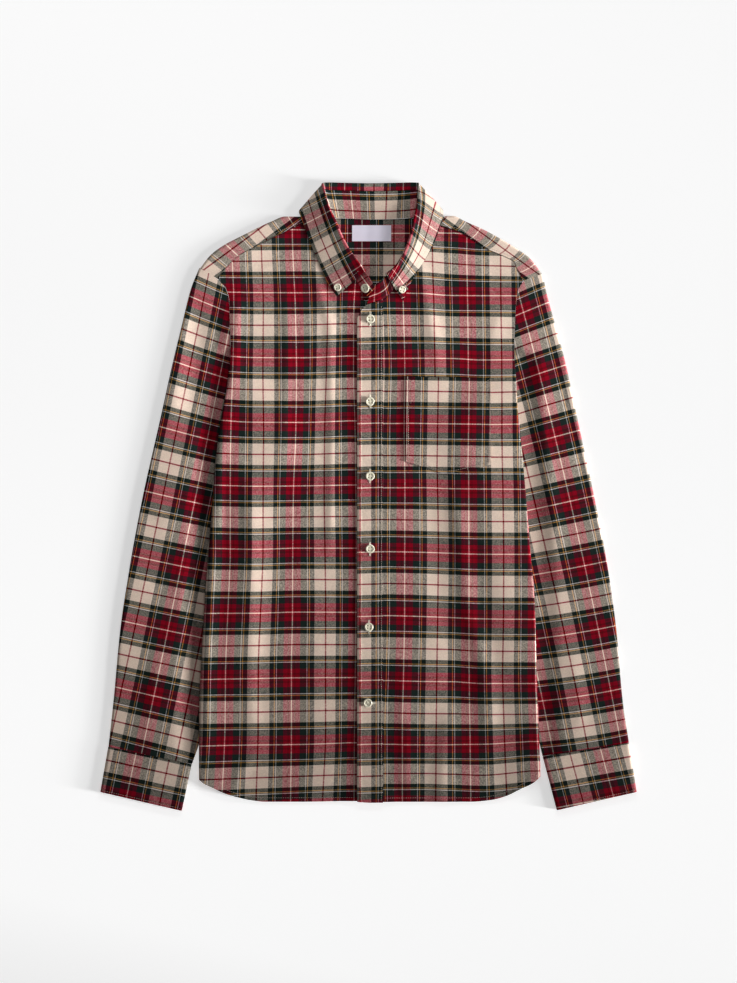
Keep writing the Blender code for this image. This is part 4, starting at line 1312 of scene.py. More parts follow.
@dataclass
class Front:
    """A front: across from its turned-under side to its centre edge, up from hem to yoke."""

    node: str
    side: Side
    top: float
    check: CheckRuler
    flat: Pair = (0.26, 0.745)
    rows: int = 300
    hem_rows: int = 26
    bunch: float = 1.25  # of the other rows towards the yoke
    across: int = 84
    fold_columns: int = 16
    edge_strip: float = 8.0  # what the fold's columns take of an edge that isn't folded
    edge_share: float = 0.3  # or of a narrow front
    past_fold: float = 2.0  # and of the flat part after a fold

    def neck_edge(self) -> tuple[Pair, ...]:
        """Columns y, x of the edge along the collar seam, and down the centre edge.

        Returns:
            Rows, from the hem up.
        """
        seam = np.array(COLLAR)[:, :2]
        if self.side is LEFT:
            neck = seam[1:7]
            centre = [(-10.0, 253.0), (UNDERLAP_EDGE - 6.0, 247.0), (UNDERLAP_EDGE, 238.0),
                      (UNDERLAP_EDGE, HEM_BOTTOM)]
            inset = -NECK_INSET
        else:
            neck = seam[16:]
            edge_x = PLACKET_TOP[0][0] + PLACKET_OVERHANG
            centre = [(-9.0, 237.0), (-12.3, 229.0), (edge_x, 220.0), (edge_x, HEM_BOTTOM)]
            inset = NECK_INSET
        return tuple(sorted([(y, x + inset) for x, y in neck] + [(y, x) for x, y in centre]))

    def shell(self) -> Shell:
        """Middle surface: flat run, half turn round the side fold and turned strip.

        From the strip's hidden edge the cloth is flat under, then on a circle of the fold's radius,
        then flat on top out to the centre edge.

        Returns:
            The front as a sheet with its check.
        """
        eased = HEM_BOTTOM + HEM_EASE
        level = np.concatenate([np.linspace(HEM_BOTTOM, eased, self.hem_rows)[:-1],
                                spread(eased, self.top, self.rows - self.hem_rows + 1, self.bunch)])
        out, radius = self.side.sign, SIDE_FOLD_RADIUS
        edge_level = np.maximum(level, self.side.outer[0][0])
        turned = self.side.turned(edge_level)
        outer_x = self.side.edge(edge_level + SEAM_GAP / 2) - out * SEAM_GAP * (1 - turned)
        centre_x = outer_x - out * (radius + CLOTH / 2) * turned
        turn = math.pi * turned
        under = TURN_UNDER * smooth((turned - 0.9) / 0.1)
        inner_x = through(self.neck_edge(), level)[..., 0]
        width = np.abs(inner_x - centre_x)
        folded = under + radius * turn
        strip = np.minimum(self.edge_strip, width * self.edge_share)
        fold_part = folded + strip * (1.0 - turned) + self.past_fold * turned
        run = shares(self.fold_columns, self.across, fold_part, folded + width)
        centre_x, folded, turn, under = (a[:, None] for a in (centre_x, folded, turn, under))
        angle = np.clip(turn - (run - under) / radius, 0.0, turn)
        beyond = np.clip(run - folded, 0.0, None)
        x = centre_x + out * radius * np.sin(angle) - out * beyond
        x = x - out * np.clip(under - run, 0.0, None)
        y = hem_ease(level[:, None], np.clip(x, HEM[0][0], HEM[-1][0]))
        on_top = smooth(1.0 - angle / (math.pi / 2))
        z = front_level(self.side, np.where(beyond > 0, x, centre_x), y)
        z = z - radius * (1.0 - np.cos(angle)) + front_relief(x, y) * on_top
        check = self.check.uv(centre_x - out * (run - folded), y)
        grid = np.stack([x, y, z], -1)
        if out > 0:
            grid, check = grid[:, ::-1], check[:, ::-1]
        return Shell(self.node, grid, check)

    def build(self, cloth: Material) -> Piece:
        """Make the front."""
        sleeve = self.node.replace("front", "sleeve") + "_cloth"
        return self.shell().lay(cloth, self.flat, "back_cloth", sleeve)


@dataclass
class Back:
    """The back: flat on the surface, raised at its sides where it lies over the sleeves."""

    rows: int = 120
    hem_rows: int = 14
    across: int = 90
    inset_fade: float = 40.0  # height over which its edges draw in to the fronts' strips
    flat: Pair = (0.43, 0.66)

    def build(self, cloth: Material) -> Piece:
        """Make the back: rows from side to side, each at the layer's height.

        Args:
            cloth: The tartan.

        Returns:
            The piece.
        """
        eased = HEM_BOTTOM + HEM_EASE
        level = np.concatenate([np.linspace(HEM_BOTTOM, eased, self.hem_rows)[:-1],
                                np.linspace(eased, YOKE_SEAM_Y - SEAM_GAP,
                                            self.rows - self.hem_rows + 1)])
        ends = []
        for side in (LEFT, RIGHT):
            edge_level = np.maximum(level, side.outer[0][0])
            strip = SIDE_FOLD_RADIUS + HALF_WALL + TURN_UNDER + SEAM_GAP
            drawn_in = smooth((SIDE_FOLD_TOP - edge_level) / self.inset_fade)
            inset = SEAM_GAP + (strip - SEAM_GAP) * drawn_in
            ends.append((side.edge(edge_level) - side.sign * inset)[:, None])
        x = ends[0] + (ends[1] - ends[0]) * unit(self.across)
        y = hem_ease(level[:, None], x, BACK_HEM_SHORT)
        z = FLOOR_LAYER + LEFT.back_height(x, y) + RIGHT.back_height(x, y)
        shell = Shell("back", np.stack([x, y, z], -1), INNER_YOKE_CHECK.uv(x, y))
        return shell.lay(cloth, self.flat, "floor")


@dataclass
class Yoke:
    """The yoke: flat at the back, over both shoulders, and down to the front seams."""

    across: int = 170
    flat_rows: int = 26
    fold_rows: int = 30
    least_gap: float = 0.5  # from seam to fold, under which the fold faces straight up the shirt
    upright: float = 1.6  # turn, in radians, past which half a layer is added
    knee: float = 0.2  # behind the fold's middle, where the way from the back bends
    over_start: float = 2.2  # turn from which the cloth runs on over the front
    over_range: float = 0.8
    fold_run: float = 12.0  # the least run that the fold's rows take
    flat: Pair = (0.46, 0.22)

    def build(self, cloth: Material) -> Piece:
        """Make the yoke.

        Every column runs flat from the back seam to the fold's tangent line, round the fold, and on
        to the front seam. Its check is the inner one up to the fold's outermost line, and each
        shoulder's own from there.

        Args:
            cloth: The tartan.

        Returns:
            The yoke.
        """
        back_x, front_x, front_y, fold_x, fold_y, turn = counted(
            YOKE, np.linspace(0, len(YOKE) - 1, self.across)).T
        left = front_x < 0
        top = np.where(left, front_level(LEFT, front_x, front_y),
                       front_level(RIGHT, front_x, front_y))
        radius = (top - FLOOR_LAYER) / 2
        front, fold = np.stack([front_x, front_y], -1), np.stack([fold_x, fold_y], -1)
        back = np.stack([back_x, np.full_like(back_x, YOKE_SEAM_Y)], -1)
        turn = np.radians(turn)
        gap = np.linalg.norm(fold - front, axis=1)
        out = np.where((gap > self.least_gap)[:, None],
                       (fold - front) / np.maximum(gap, self.least_gap)[:, None], (0.0, 1.0))
        reach = (radius * np.sin(np.minimum(turn, math.pi / 2))
                 + np.where(turn > self.upright, CLOTH / 2, 0.0))
        centre = fold - out * reach[:, None]
        ahead = np.sum((centre - front) * out, axis=1)
        knee = np.where((ahead > 0)[:, None], front, centre - out * self.knee)
        to_knee = np.linalg.norm(knee - back, axis=1)
        to_centre = np.linalg.norm(centre - knee, axis=1)
        flat, arc = to_knee + to_centre, radius * turn
        over = np.maximum(ahead, 0.0) * smooth((turn - self.over_start) / self.over_range)
        folded = np.maximum(arc + over, self.fold_run)
        run = shares(self.flat_rows, self.fold_rows, flat + arc + over - folded, flat + arc + over)
        radius, turn, flat, arc, to_knee, to_centre = (
            a[:, None] for a in (radius, turn, flat, arc, to_knee, to_centre))
        angle = np.clip((run - flat) / radius, 0.0, turn)
        beyond = np.clip(run - flat - arc, 0.0, None)
        to_back = np.clip(run, 0.0, to_knee) / to_knee
        from_knee = np.clip(run - to_knee, 0.0, to_centre) + radius * np.sin(angle) - beyond
        place = (back[:, None] + (knee - back)[:, None] * to_back[..., None]
                 + out[:, None] * from_knee[..., None])
        x, y = place[..., 0], place[..., 1]
        on_top = smooth((angle - math.pi / 2) / (math.pi / 2))
        z = FLOOR_LAYER + radius * (1.0 - np.cos(angle)) + front_relief(x, y) * on_top
        check = np.stack([INNER_YOKE_CHECK.uv(x, y), LEFT_YOKE_CHECK.uv(x, y),
                          RIGHT_YOKE_CHECK.uv(x, y)]).transpose(0, 2, 1, 3)
        middle = (angle[1:, 1:] + angle[:-1, :-1]).T / 2
        half = np.broadcast_to(left[1:], middle.shape)
        zone = np.where(middle < math.pi / 2, 0, np.where(half, 1, 2))
        shell = Shell("yoke", np.stack([x, y, z], -1).transpose(1, 0, 2), check, zone)
        return shell.lay(cloth, self.flat, "floor", "back_cloth")


# --- sleeves and cuffs

@dataclass
class FlatTube:
    """A tube of cloth pressed flat: for each line across, a loop with a round fold at both ends."""

    node: str
    lines: Array
    wall: float
    thickness: Callable[[Array, Array], Array]
    check: CheckFit
    bend: Callable[[Array], Array] | None = None
    raised: Callable[[Array, Array], Array] | None = None
    fold_columns: int = 11
    flat_columns: int = 44
    cloth: float = CLOTH
    edge: float = 9.0  # width over which raised creases die out at both folds
    least: float = 1.2  # height of the upper side over the half wall, in layers of cloth

    def shell(self) -> Shell:
        """Loops from the outer fold along the underside to the inner fold and back over the top.

        Under the outer fold it runs on as twice the fold's count less the top's, so it crosses
        that fold unbroken and meets itself only in the seam along the inner fold.

        Returns:
            The tube as a sheet with its check.
        """
        outer, inner = self.lines[:, None, :2], self.lines[:, None, 2:]
        length = np.linalg.norm(inner - outer, axis=2)
        half = self.wall / 2
        rim = (self.wall - self.cloth) / 2
        radius_out = (self.thickness(outer[..., 0], outer[..., 1]) - self.wall) / 2
        radius_in = (self.thickness(inner[..., 0], inner[..., 1]) - self.wall) / 2
        turn = np.linspace(0.0, math.pi, self.fold_columns)[None]
        start, end = half + radius_out, length - half - radius_in
        share = unit(self.flat_columns)[None, 1:-1]
        flat = start + (end - start) * share
        across = np.concatenate([start - (radius_out + rim) * np.sin(turn), flat,
                                 end + (radius_in + rim) * np.sin(turn), flat[:, ::-1]], axis=1)
        spare = turn - np.sin(turn)
        spare = np.where(turn > math.pi / 2, math.pi - turn - np.sin(turn), spare)
        none = np.zeros_like(flat)
        unrolled = across + np.concatenate(
            [-radius_out * spare, none, radius_in * spare, none], axis=1)
        low = np.full_like(flat, half)
        height = np.concatenate([half + radius_out * (1 + np.cos(turn)), low,
                                 half + radius_in * (1 - np.cos(turn)), low], axis=1)
        along_line = (inner - outer) / length[..., None]
        shift = 0.0 if self.bend is None else self.bend(across / length)
        place = outer + along_line * across[..., None] + shift
        spread_out = outer + along_line * unrolled[..., None] + shift
        x, y = place[..., 0], place[..., 1]
        count = flat.shape[1]
        over = slice(across.shape[1] - count, None)
        height[:, over] = self.thickness(x[:, over], y[:, over]) - half
        if self.raised is not None:
            window = smooth(across / self.edge) * smooth((length - across) / self.edge)
            height[:, over] += (self.raised(x, y) * window)[:, over]
            height[:, over] = np.maximum(height[:, over], half + self.least * self.cloth)
        top = self.check.uv(spread_out[..., 0], spread_out[..., 1])
        fold = self.fold_columns // 2
        turn_line = top[:, fold:fold + 1]
        check = np.stack([top, 2 * turn_line - top])
        check = np.concatenate([check, check[:, :, :1]], axis=2)
        column = np.arange(across.shape[1])
        under = (column >= fold) & (column < self.fold_columns + count + fold)
        zone = np.broadcast_to(under.astype(int), (len(self.lines) - 1, len(column)))
        grid = np.stack([x, y, height], -1)
        if self.lines[0][0] > self.lines[0][2]:
            grid = grid[:, ::-1]
            check = np.concatenate([check[:, :, -2::-1], check[:, :, -2:-1]], axis=2)
            zone = np.concatenate([zone[:, -2::-1], zone[:, -1:]], axis=1)
        return Shell(self.node, grid[::-1], check[:, ::-1], zone[::-1], self.cloth, True)


@dataclass
class Sleeve:
    """A sleeve: from the armhole seam to the cuff seam."""

    node: str
    side: Side
    check: CheckFit
    flat: Pair = (0.48, 0.66)
    rows: int = 230
    bent_share: float = 0.53
    gap_rate: float = 7.5  # how fast the gap to the armhole closes, to the whole length
    gap_down: float = 0.15
    shown_reach: float = 8.0  # width over which creases start at the body's edge

    def bend(self, across: Array) -> Array:
        """Shift of the sections near the armhole, so that the first one follows its seam.

        Args:
            across: Shares of the way from the outer fold to the inner one.

        Returns:
            Shifts in x and y.
        """
        place = unit(self.rows)[:, None]
        fade = np.clip(1.0 - place / self.bent_share, 0.0, 1.0)[..., None] ** 2
        first, last = np.array(self.side.armhole[0]), np.array(self.side.armhole[-1])
        straight = first + (last - first) * across[..., None]
        away = np.array([self.side.sign * SEAM_GAP, -self.gap_down])
        return (along(self.side.armhole, across) - straight) * fade \
            + away * np.clip(1.0 - place * self.gap_rate, 0.0, 1.0)[..., None]

    def raised(self, x: Array, y: Array) -> Array:
        """Creases of the part that the body doesn't cover."""
        outside = self.shown_reach / 2 - self.side.inside(x, y)
        return sleeve_relief(x, y) * smooth(outside / self.shown_reach)

    def build(self, cloth: Material) -> Piece:
        """Make the sleeve.

        Args:
            cloth: The tartan.

        Returns:
            The piece.
        """
        lines = along(self.side.sleeve, unit(self.rows))
        shell = FlatTube(self.node, lines, WALL, self.side.sleeve_thickness, self.check,
                         self.bend, self.raised).shell()
        return shell.lay(cloth, self.flat, "floor")


@dataclass
class Cuff:
    """A cuff: a short tube of stiffer, doubled cloth at the sleeve's end."""

    node: str
    side: Side
    check: CheckFit
    flat: Pair = (0.24, 0.065)
    thickness: float = 1.5
    rows: int = 46
    wall: float = 1.8  # of the CAD solid

    def build(self, cloth: Material) -> Shell:
        """Make the cuff and return its sheet.

        Args:
            cloth: The tartan.

        Returns:
            The sheet.
        """
        lines = along(self.side.cuff, unit(self.rows))
        shell = FlatTube(self.node, lines, self.wall, lambda x, y: np.full_like(x, CUFF_LOFT),
                         self.check, cloth=self.thickness).shell()
        shell.lay(cloth, self.flat, "floor")
        return shell


# --- collar

def leaf_rest(x: Array, y: Array) -> Array:
    """Middle of the leaf's cloth where its edge lies on the shirt.

    Args:
        x: Points' x in millimetres.
        y: Their y.

    Returns:
        Heights in millimetres.
    """
    y = np.minimum(y, 352.0)
    level = np.where(x < 0, front_level(LEFT, x, y), front_level(RIGHT, x, y))
    return level + WALL + LAY_GAP + LEAF_LIFT


@dataclass
class Collar:
    """The collar: its stand, and the leaf from inside it over the fold to both points."""

    columns: int = 330
    stand_flat: Pair = (0.42, 0.05)
    leaf_flat: Pair = (0.42, 0.11)
    fold_press: float = 0.45  # how far the fold is pressed down in front, of its height
    press_top: float = 358.0  # y under which it is pressed
    press_reach: float = 35.0
    press_rows: Pair = (1.0, 22.0)  # between these rows of COLLAR
    press_ease: float = 2.0
    back_rows: float = 2.5  # of the back, either side of its middle
    back_ease: float = 3.0
    leaf_start: float = 0.8  # how far over its seam the leaf begins
    least_rise: float = 0.4  # of the leaf from its seam to the fold, in mm and as a share
    least_share: float = 0.1
    lying_margin: float = 4.0
    lying_reach: float = 24.0
    leaf_flat_share: float = 0.32  # height of the bowed line's middle where the leaf lies flat
    stand_straight: float = 0.45  # share of the stand's half length with the weft straight in it
    stand_warp: float = 385.7  # photo x of one of the stand's cream warp bands
    stand_weft: float = 9.9  # height up the stand of its first cream weft band
    right_shift: float = 0.9  # of the warp in its right end, half repeats
    right_start: float = 0.72  # share of the run where that starts
    right_ease: float = 0.16
    stand_bend: float = 1.02  # how far its bent cut moves the weft at its ends, half repeats
    bend_reach: float = 0.72  # share of the bent part over which it does so

    def frames(self, first: float, last: float) -> tuple[Array, Array, Array, Array, Array]:
        """Seam, fold and leaf edge points, and the directions up the stand and out of it.

        Args:
            first: First row of COLLAR.
            last: Last row.

        Returns:
            The five arrays, one row for each column of the collar.
        """
        table = np.array(COLLAR, float)
        on_front = table[:, 8] == 0
        table[on_front, 8] = leaf_rest(table[:, 6], table[:, 7])[on_front]
        rows = counted(table, np.linspace(first, last, self.columns))
        seam, fold, edge = rows[:, 0:3], rows[:, 3:6].copy(), rows[:, 6:9].copy()
        row = np.linspace(first, last, self.columns)
        start, end = self.press_rows
        pressed = self.fold_press * smooth((self.press_top - fold[:, 1]) / self.press_reach) \
            * smooth((row - start) / self.press_ease) * smooth((end - row) / self.press_ease)
        fold[:, 2] -= pressed * (fold[:, 2] - seam[:, 2])
        resting = edge[:, 1] < LEAF_OFF_YOKE
        edge[resting, 2] = np.maximum(edge[:, 2], leaf_rest(edge[:, 0], edge[:, 1]))[resting]
        run = np.gradient((seam + fold) / 2, axis=0)
        up = unit_length(fold - seam)
        return seam, fold, edge, up, unit_length(np.cross(up, run))

    def share(self, first: float, last: float) -> Array:
        """Share of the way from seam to fold where the leaf is sewn to the stand.

        Args:
            first: First row of COLLAR.
            last: Last row.

        Returns:
            Shares, one a row.
        """
        row = np.linspace(first, last, self.columns)
        off_middle = np.abs(row - (len(COLLAR) - 1) / 2)
        side = smooth((off_middle - self.back_rows) / self.back_ease)
        return (STAND_SHARE_BACK + (STAND_SHARE_FRONT - STAND_SHARE_BACK) * side)[:, None]

    def stand_grid(self) -> Array:
        """Straight lines from the neck seam up to the leaf's seam.

        Returns:
            Rows of points.
        """
        last = len(COLLAR) - 1
        seam, fold, _, _, _ = self.frames(0, last)
        height = unit(16)[:, None, None]
        return seam + (fold - seam) * self.share(0, last) * height

    def leaf_grid(self) -> Array:
        """Up from the stand, round the fold and down a bowed line to the edge.

        The fold is a half circle between the stand's and the leaf's directions; the bowed line is a
        quadratic curve whose middle is pushed out of the straight one.

        Returns:
            Rows of points.
        """
        seam, fold, edge, up, out = self.frames(LEAF_FIRST_ROW, LEAF_LAST_ROW)
        share = self.share(LEAF_FIRST_ROW, LEAF_LAST_ROW)
        radius = LEAF_FOLD_RADIUS
        start = seam + (fold - seam) * share + up * self.leaf_start
        inner = fold - up * radius
        room = np.linalg.norm(inner - start, axis=1, keepdims=True)
        forward = np.sum((inner - start) * up, axis=1, keepdims=True)
        least = np.maximum(self.least_rise, self.least_share * room)
        inner = np.where(forward > self.least_rise, inner, start + up * least)
        middle = inner + out * radius
        rise = unit(7)[:-1, None, None]
        angle = np.linspace(0.0, math.pi, 13)[:, None, None]
        t = unit(40)[1:, None, None]
        leave = middle + out * radius
        pull = (leave + edge) / 2 + out * LEAF_BOW
        lying = smooth((LEAF_OFF_YOKE + self.lying_margin - edge[:, 1]) / self.lying_reach)
        low = edge[:, 2] + self.leaf_flat_share * (leave[:, 2] - edge[:, 2])
        pull[:, 2] += lying * (low - pull[:, 2])
        grid = np.concatenate([
            start + (inner - start) * rise,
            middle - out * radius * np.cos(angle) + up * radius * np.sin(angle),
            (1 - t) ** 2 * leave + 2 * t * (1 - t) * pull + t * t * edge])
        grid[..., 2] = np.maximum(grid[..., 2], FLOOR_LAYER)
        return grid

    def build(self, cloth: Material) -> Shell:
        """Make the stand and the leaf, and return the leaf's sheet.

        Args:
            cloth: The tartan.

        Returns:
            The leaf's sheet.
        """
        stand = self.stand_grid()
        base = stand[0]
        run = run_along(base)
        back = slice(100, 230)  # columns of the back, where x only rises
        zero = np.interp(plan(self.stand_warp, 0.0)[0], base[back, 0], run[back])
        height = np.linalg.norm(stand - stand[:1], axis=2)
        off_back = np.abs(run / run[-1] - 0.5) / 0.5 - self.stand_straight
        bent = self.stand_bend * smooth(off_back / (self.bend_reach * (1.0 - self.stand_straight)))
        to_right = self.right_shift * smooth((run / run[-1] - self.right_start) / self.right_ease)
        warp = (run - zero) / (HALF_SETT * PIXEL) + to_right
        weft = (height - self.stand_weft) / (HALF_SETT * PIXEL) + bent
        check = np.stack([np.broadcast_to(warp, height.shape), weft], -1)
        stand_shell = Shell("collar_stand", stand, check)
        stand_shell.lay(cloth, self.stand_flat, "yoke_cloth", "front_right_cloth")
        leaf = self.leaf_grid()
        fields = np.stack([fit.uv(leaf[..., 0], leaf[..., 1])
                           for fit in (LEFT_LEAF_CHECK, BACK_LEAF_CHECK, RIGHT_LEAF_CHECK)])
        row = np.linspace(LEAF_FIRST_ROW, LEAF_LAST_ROW, self.columns)
        middle = (row[1:] + row[:-1]) / 2
        zone = np.where(middle < LEFT_CORNER_ROW, 0, np.where(middle < RIGHT_CORNER_ROW, 1, 2))
        zone = np.broadcast_to(zone, (leaf.shape[0] - 1, leaf.shape[1] - 1))
        leaf_shell = Shell("collar_leaf", leaf, fields, zone)
        leaf_shell.lay(cloth, self.leaf_flat, "collar_stand_cloth", "front_right_cloth",
                       "front_left_cloth", "yoke_cloth")
        return leaf_shell


# --- what lies on the fronts

def on_front(x: Array, y: Array) -> Array:
    """Middle of a sheet that is sewn on the placket side's front."""
    return front_level(RIGHT, x, y) + WALL + LAY_GAP + front_relief(x, y)


@dataclass
class Placket:
    """The placket: a strip on the centre edge of the viewer's right front."""

    flat: Pair = (0.034, 0.645)
    rows: int = 330
    columns: int = 34
    bunch: float = 1.5  # of its columns towards the front edge
    edge_roll: float = 0.7  # rise of the folded front edge
    roll_place: float = 2.6  # from the edge
    roll_width: float = 1.9
    roll_drop: float = 0.25  # share of the roll that the rest lies lower
    seam_press: float = 0.55  # how far the stitched edge is pressed down
    seam_reach: float = 4.0
    thickness: float = 1.0

    def build(self, cloth: Material) -> Piece:
        """Make the placket: columns from the hem to its curved top edge.

        Args:
            cloth: The tartan.

        Returns:
            The piece.
        """
        table = np.array(PLACKET_TOP)
        x = table[0, 0] + (table[-1, 0] - table[0, 0]) * unit(self.columns) ** self.bunch
        top = through(table, x)[..., 0]
        bottom = hem_y(x) - PLACKET_OVERHANG
        y = bottom + (top - bottom) * unit(self.rows)[:, None]
        x = np.broadcast_to(x, y.shape)
        roll = np.exp(-((x - x.min() - self.roll_place) / self.roll_width) ** 2)
        rolled = self.edge_roll * (roll - self.roll_drop)
        pressed = self.seam_press * smooth(1.0 - (x.max() - x) / self.seam_reach)
        shell = Shell("placket", np.stack([x, y, on_front(x, y) + rolled - pressed], -1),
                      PLACKET_CHECK.uv(x, y), thickness=self.thickness)
        return shell.lay(cloth, self.flat, "front_left_cloth")


@dataclass
class Pocket:
    """The chest pocket, with its pointed bottom and folded hem."""

    flat: Pair = (0.108, 0.125)
    rows: int = 90
    columns: int = 84
    crown: float = 0.5
    crown_rate: float = 1.2  # how soon the crown is whole, going up
    rim: float = 0.25  # rise of the turned edges over the rest
    rim_width: float = 1.1
    mouth: float = 0.8  # rise of the folded mouth, of the rim's
    mouth_place: float = 2.0  # from the upper edge
    mouth_width: float = 2.2
    hem: float = 0.3  # rise of the hem's lower edge
    hem_place: float = 33.0
    hem_width: float = 1.6
    bunch: float = 0.115  # how far the grid is drawn to the edges

    def build(self, cloth: Material) -> Piece:
        """Make the pocket: its front's points moved out, and a little more in the middle.

        Args:
            cloth: The tartan.

        Returns:
            The piece.
        """
        evenly, share = unit(self.columns), unit(self.rows)[:, None]
        left, right = POCKET[0][0], POCKET[-1][0]
        x = left + (right - left) * (evenly - self.bunch * np.sin(2 * math.pi * evenly))
        table = through(POCKET, x)
        share = share - self.bunch * np.sin(2 * math.pi * share)
        y = table[:, 1] + (table[:, 0] - table[:, 1]) * share
        x = np.broadcast_to(x, y.shape)
        across = np.sin(math.pi * evenly)
        side = np.minimum(x - x.min(), x.max() - x)
        edge = np.minimum(side, y - y.min(axis=0))
        down = y.max(axis=0) - y
        mouth = np.exp(-((down - self.mouth_place) / self.mouth_width) ** 2)
        fold = np.exp(-((down - self.hem_place) / self.hem_width) ** 2)
        z = on_front(x, y) + self.crown * across * smooth(share * self.crown_rate) \
            + self.rim * (np.exp(-(edge / self.rim_width) ** 2) + self.mouth * mouth) \
            + self.hem * fold
        shell = Shell("pocket", np.stack([x, y, z], -1), POCKET_CHECK.uv(x, y))
        return shell.lay(cloth, self.flat, "front_left_cloth")


@dataclass
class NeckLabel:
    """The blank label inside the back of the neck."""

    left: float = -21.0
    bottom: float = 327.0
    right: float = 29.0
    top: float = 347.5
    thickness: float = 0.5
    lift: float = 0.3
    curl: float = 0.25  # rise of its edges and waves
    waves: float = 2.6
    flat: Pair = (0.051, 0.0215)

    def build(self, satin: Material) -> Piece:
        """Make the label: a thin sheet with slightly lifted, curling edges.

        Args:
            satin: The label's finish.

        Returns:
            The piece.
        """
        u, v = np.meshgrid(unit(40), unit(20))
        x = self.left + (self.right - self.left) * u
        y = self.bottom + (self.top - self.bottom) * v
        z = FLOOR_LAYER + HALF_WALL + LAY_GAP + self.lift \
            + self.curl * np.sin(self.waves * math.pi * u) ** 2 + self.curl * (2 * v - 1) ** 4
        shell = Shell("label", np.stack([x, y, z], -1), np.stack([u, v], -1),
                      thickness=self.thickness)
        return shell.lay(satin, self.flat, "yoke_cloth", slot="label_cloth")


# --- buttons

@dataclass(frozen=True)
class ButtonPlace:
    """A button: its CAD node, its diameter and the turn of its holes in degrees."""

    node: str
    diameter: float = 11.4
    turn: float = 0.0


BUTTONS = (
    ButtonPlace("button_stand", turn=20.0), ButtonPlace("button_point_left", 9.4, 15.0),
    ButtonPlace("button_point_right", 9.4, -15.0),
    *(ButtonPlace(f"button_front_{number}", turn=turn)
      for number, turn in enumerate((0.0, 8.0, -6.0, 3.0, -9.0, 45.0), 1)),
)
# Columns: share of the radius, height. Over the sunk middle, the rim and the edge to the underside.
BUTTON_PROFILE: Rows = (
    (0, 1.8), (0.2, 1.8), (0.4, 1.82), (0.55, 1.88), (0.66, 2), (0.74, 2.12), (0.82, 2.18),
    (0.9, 2.1), (0.97, 1.8), (1, 1.35), (0.97, 0.85), (0.88, 0.4), (0.7, 0.1), (0.35, 0), (0.02, 0),
)


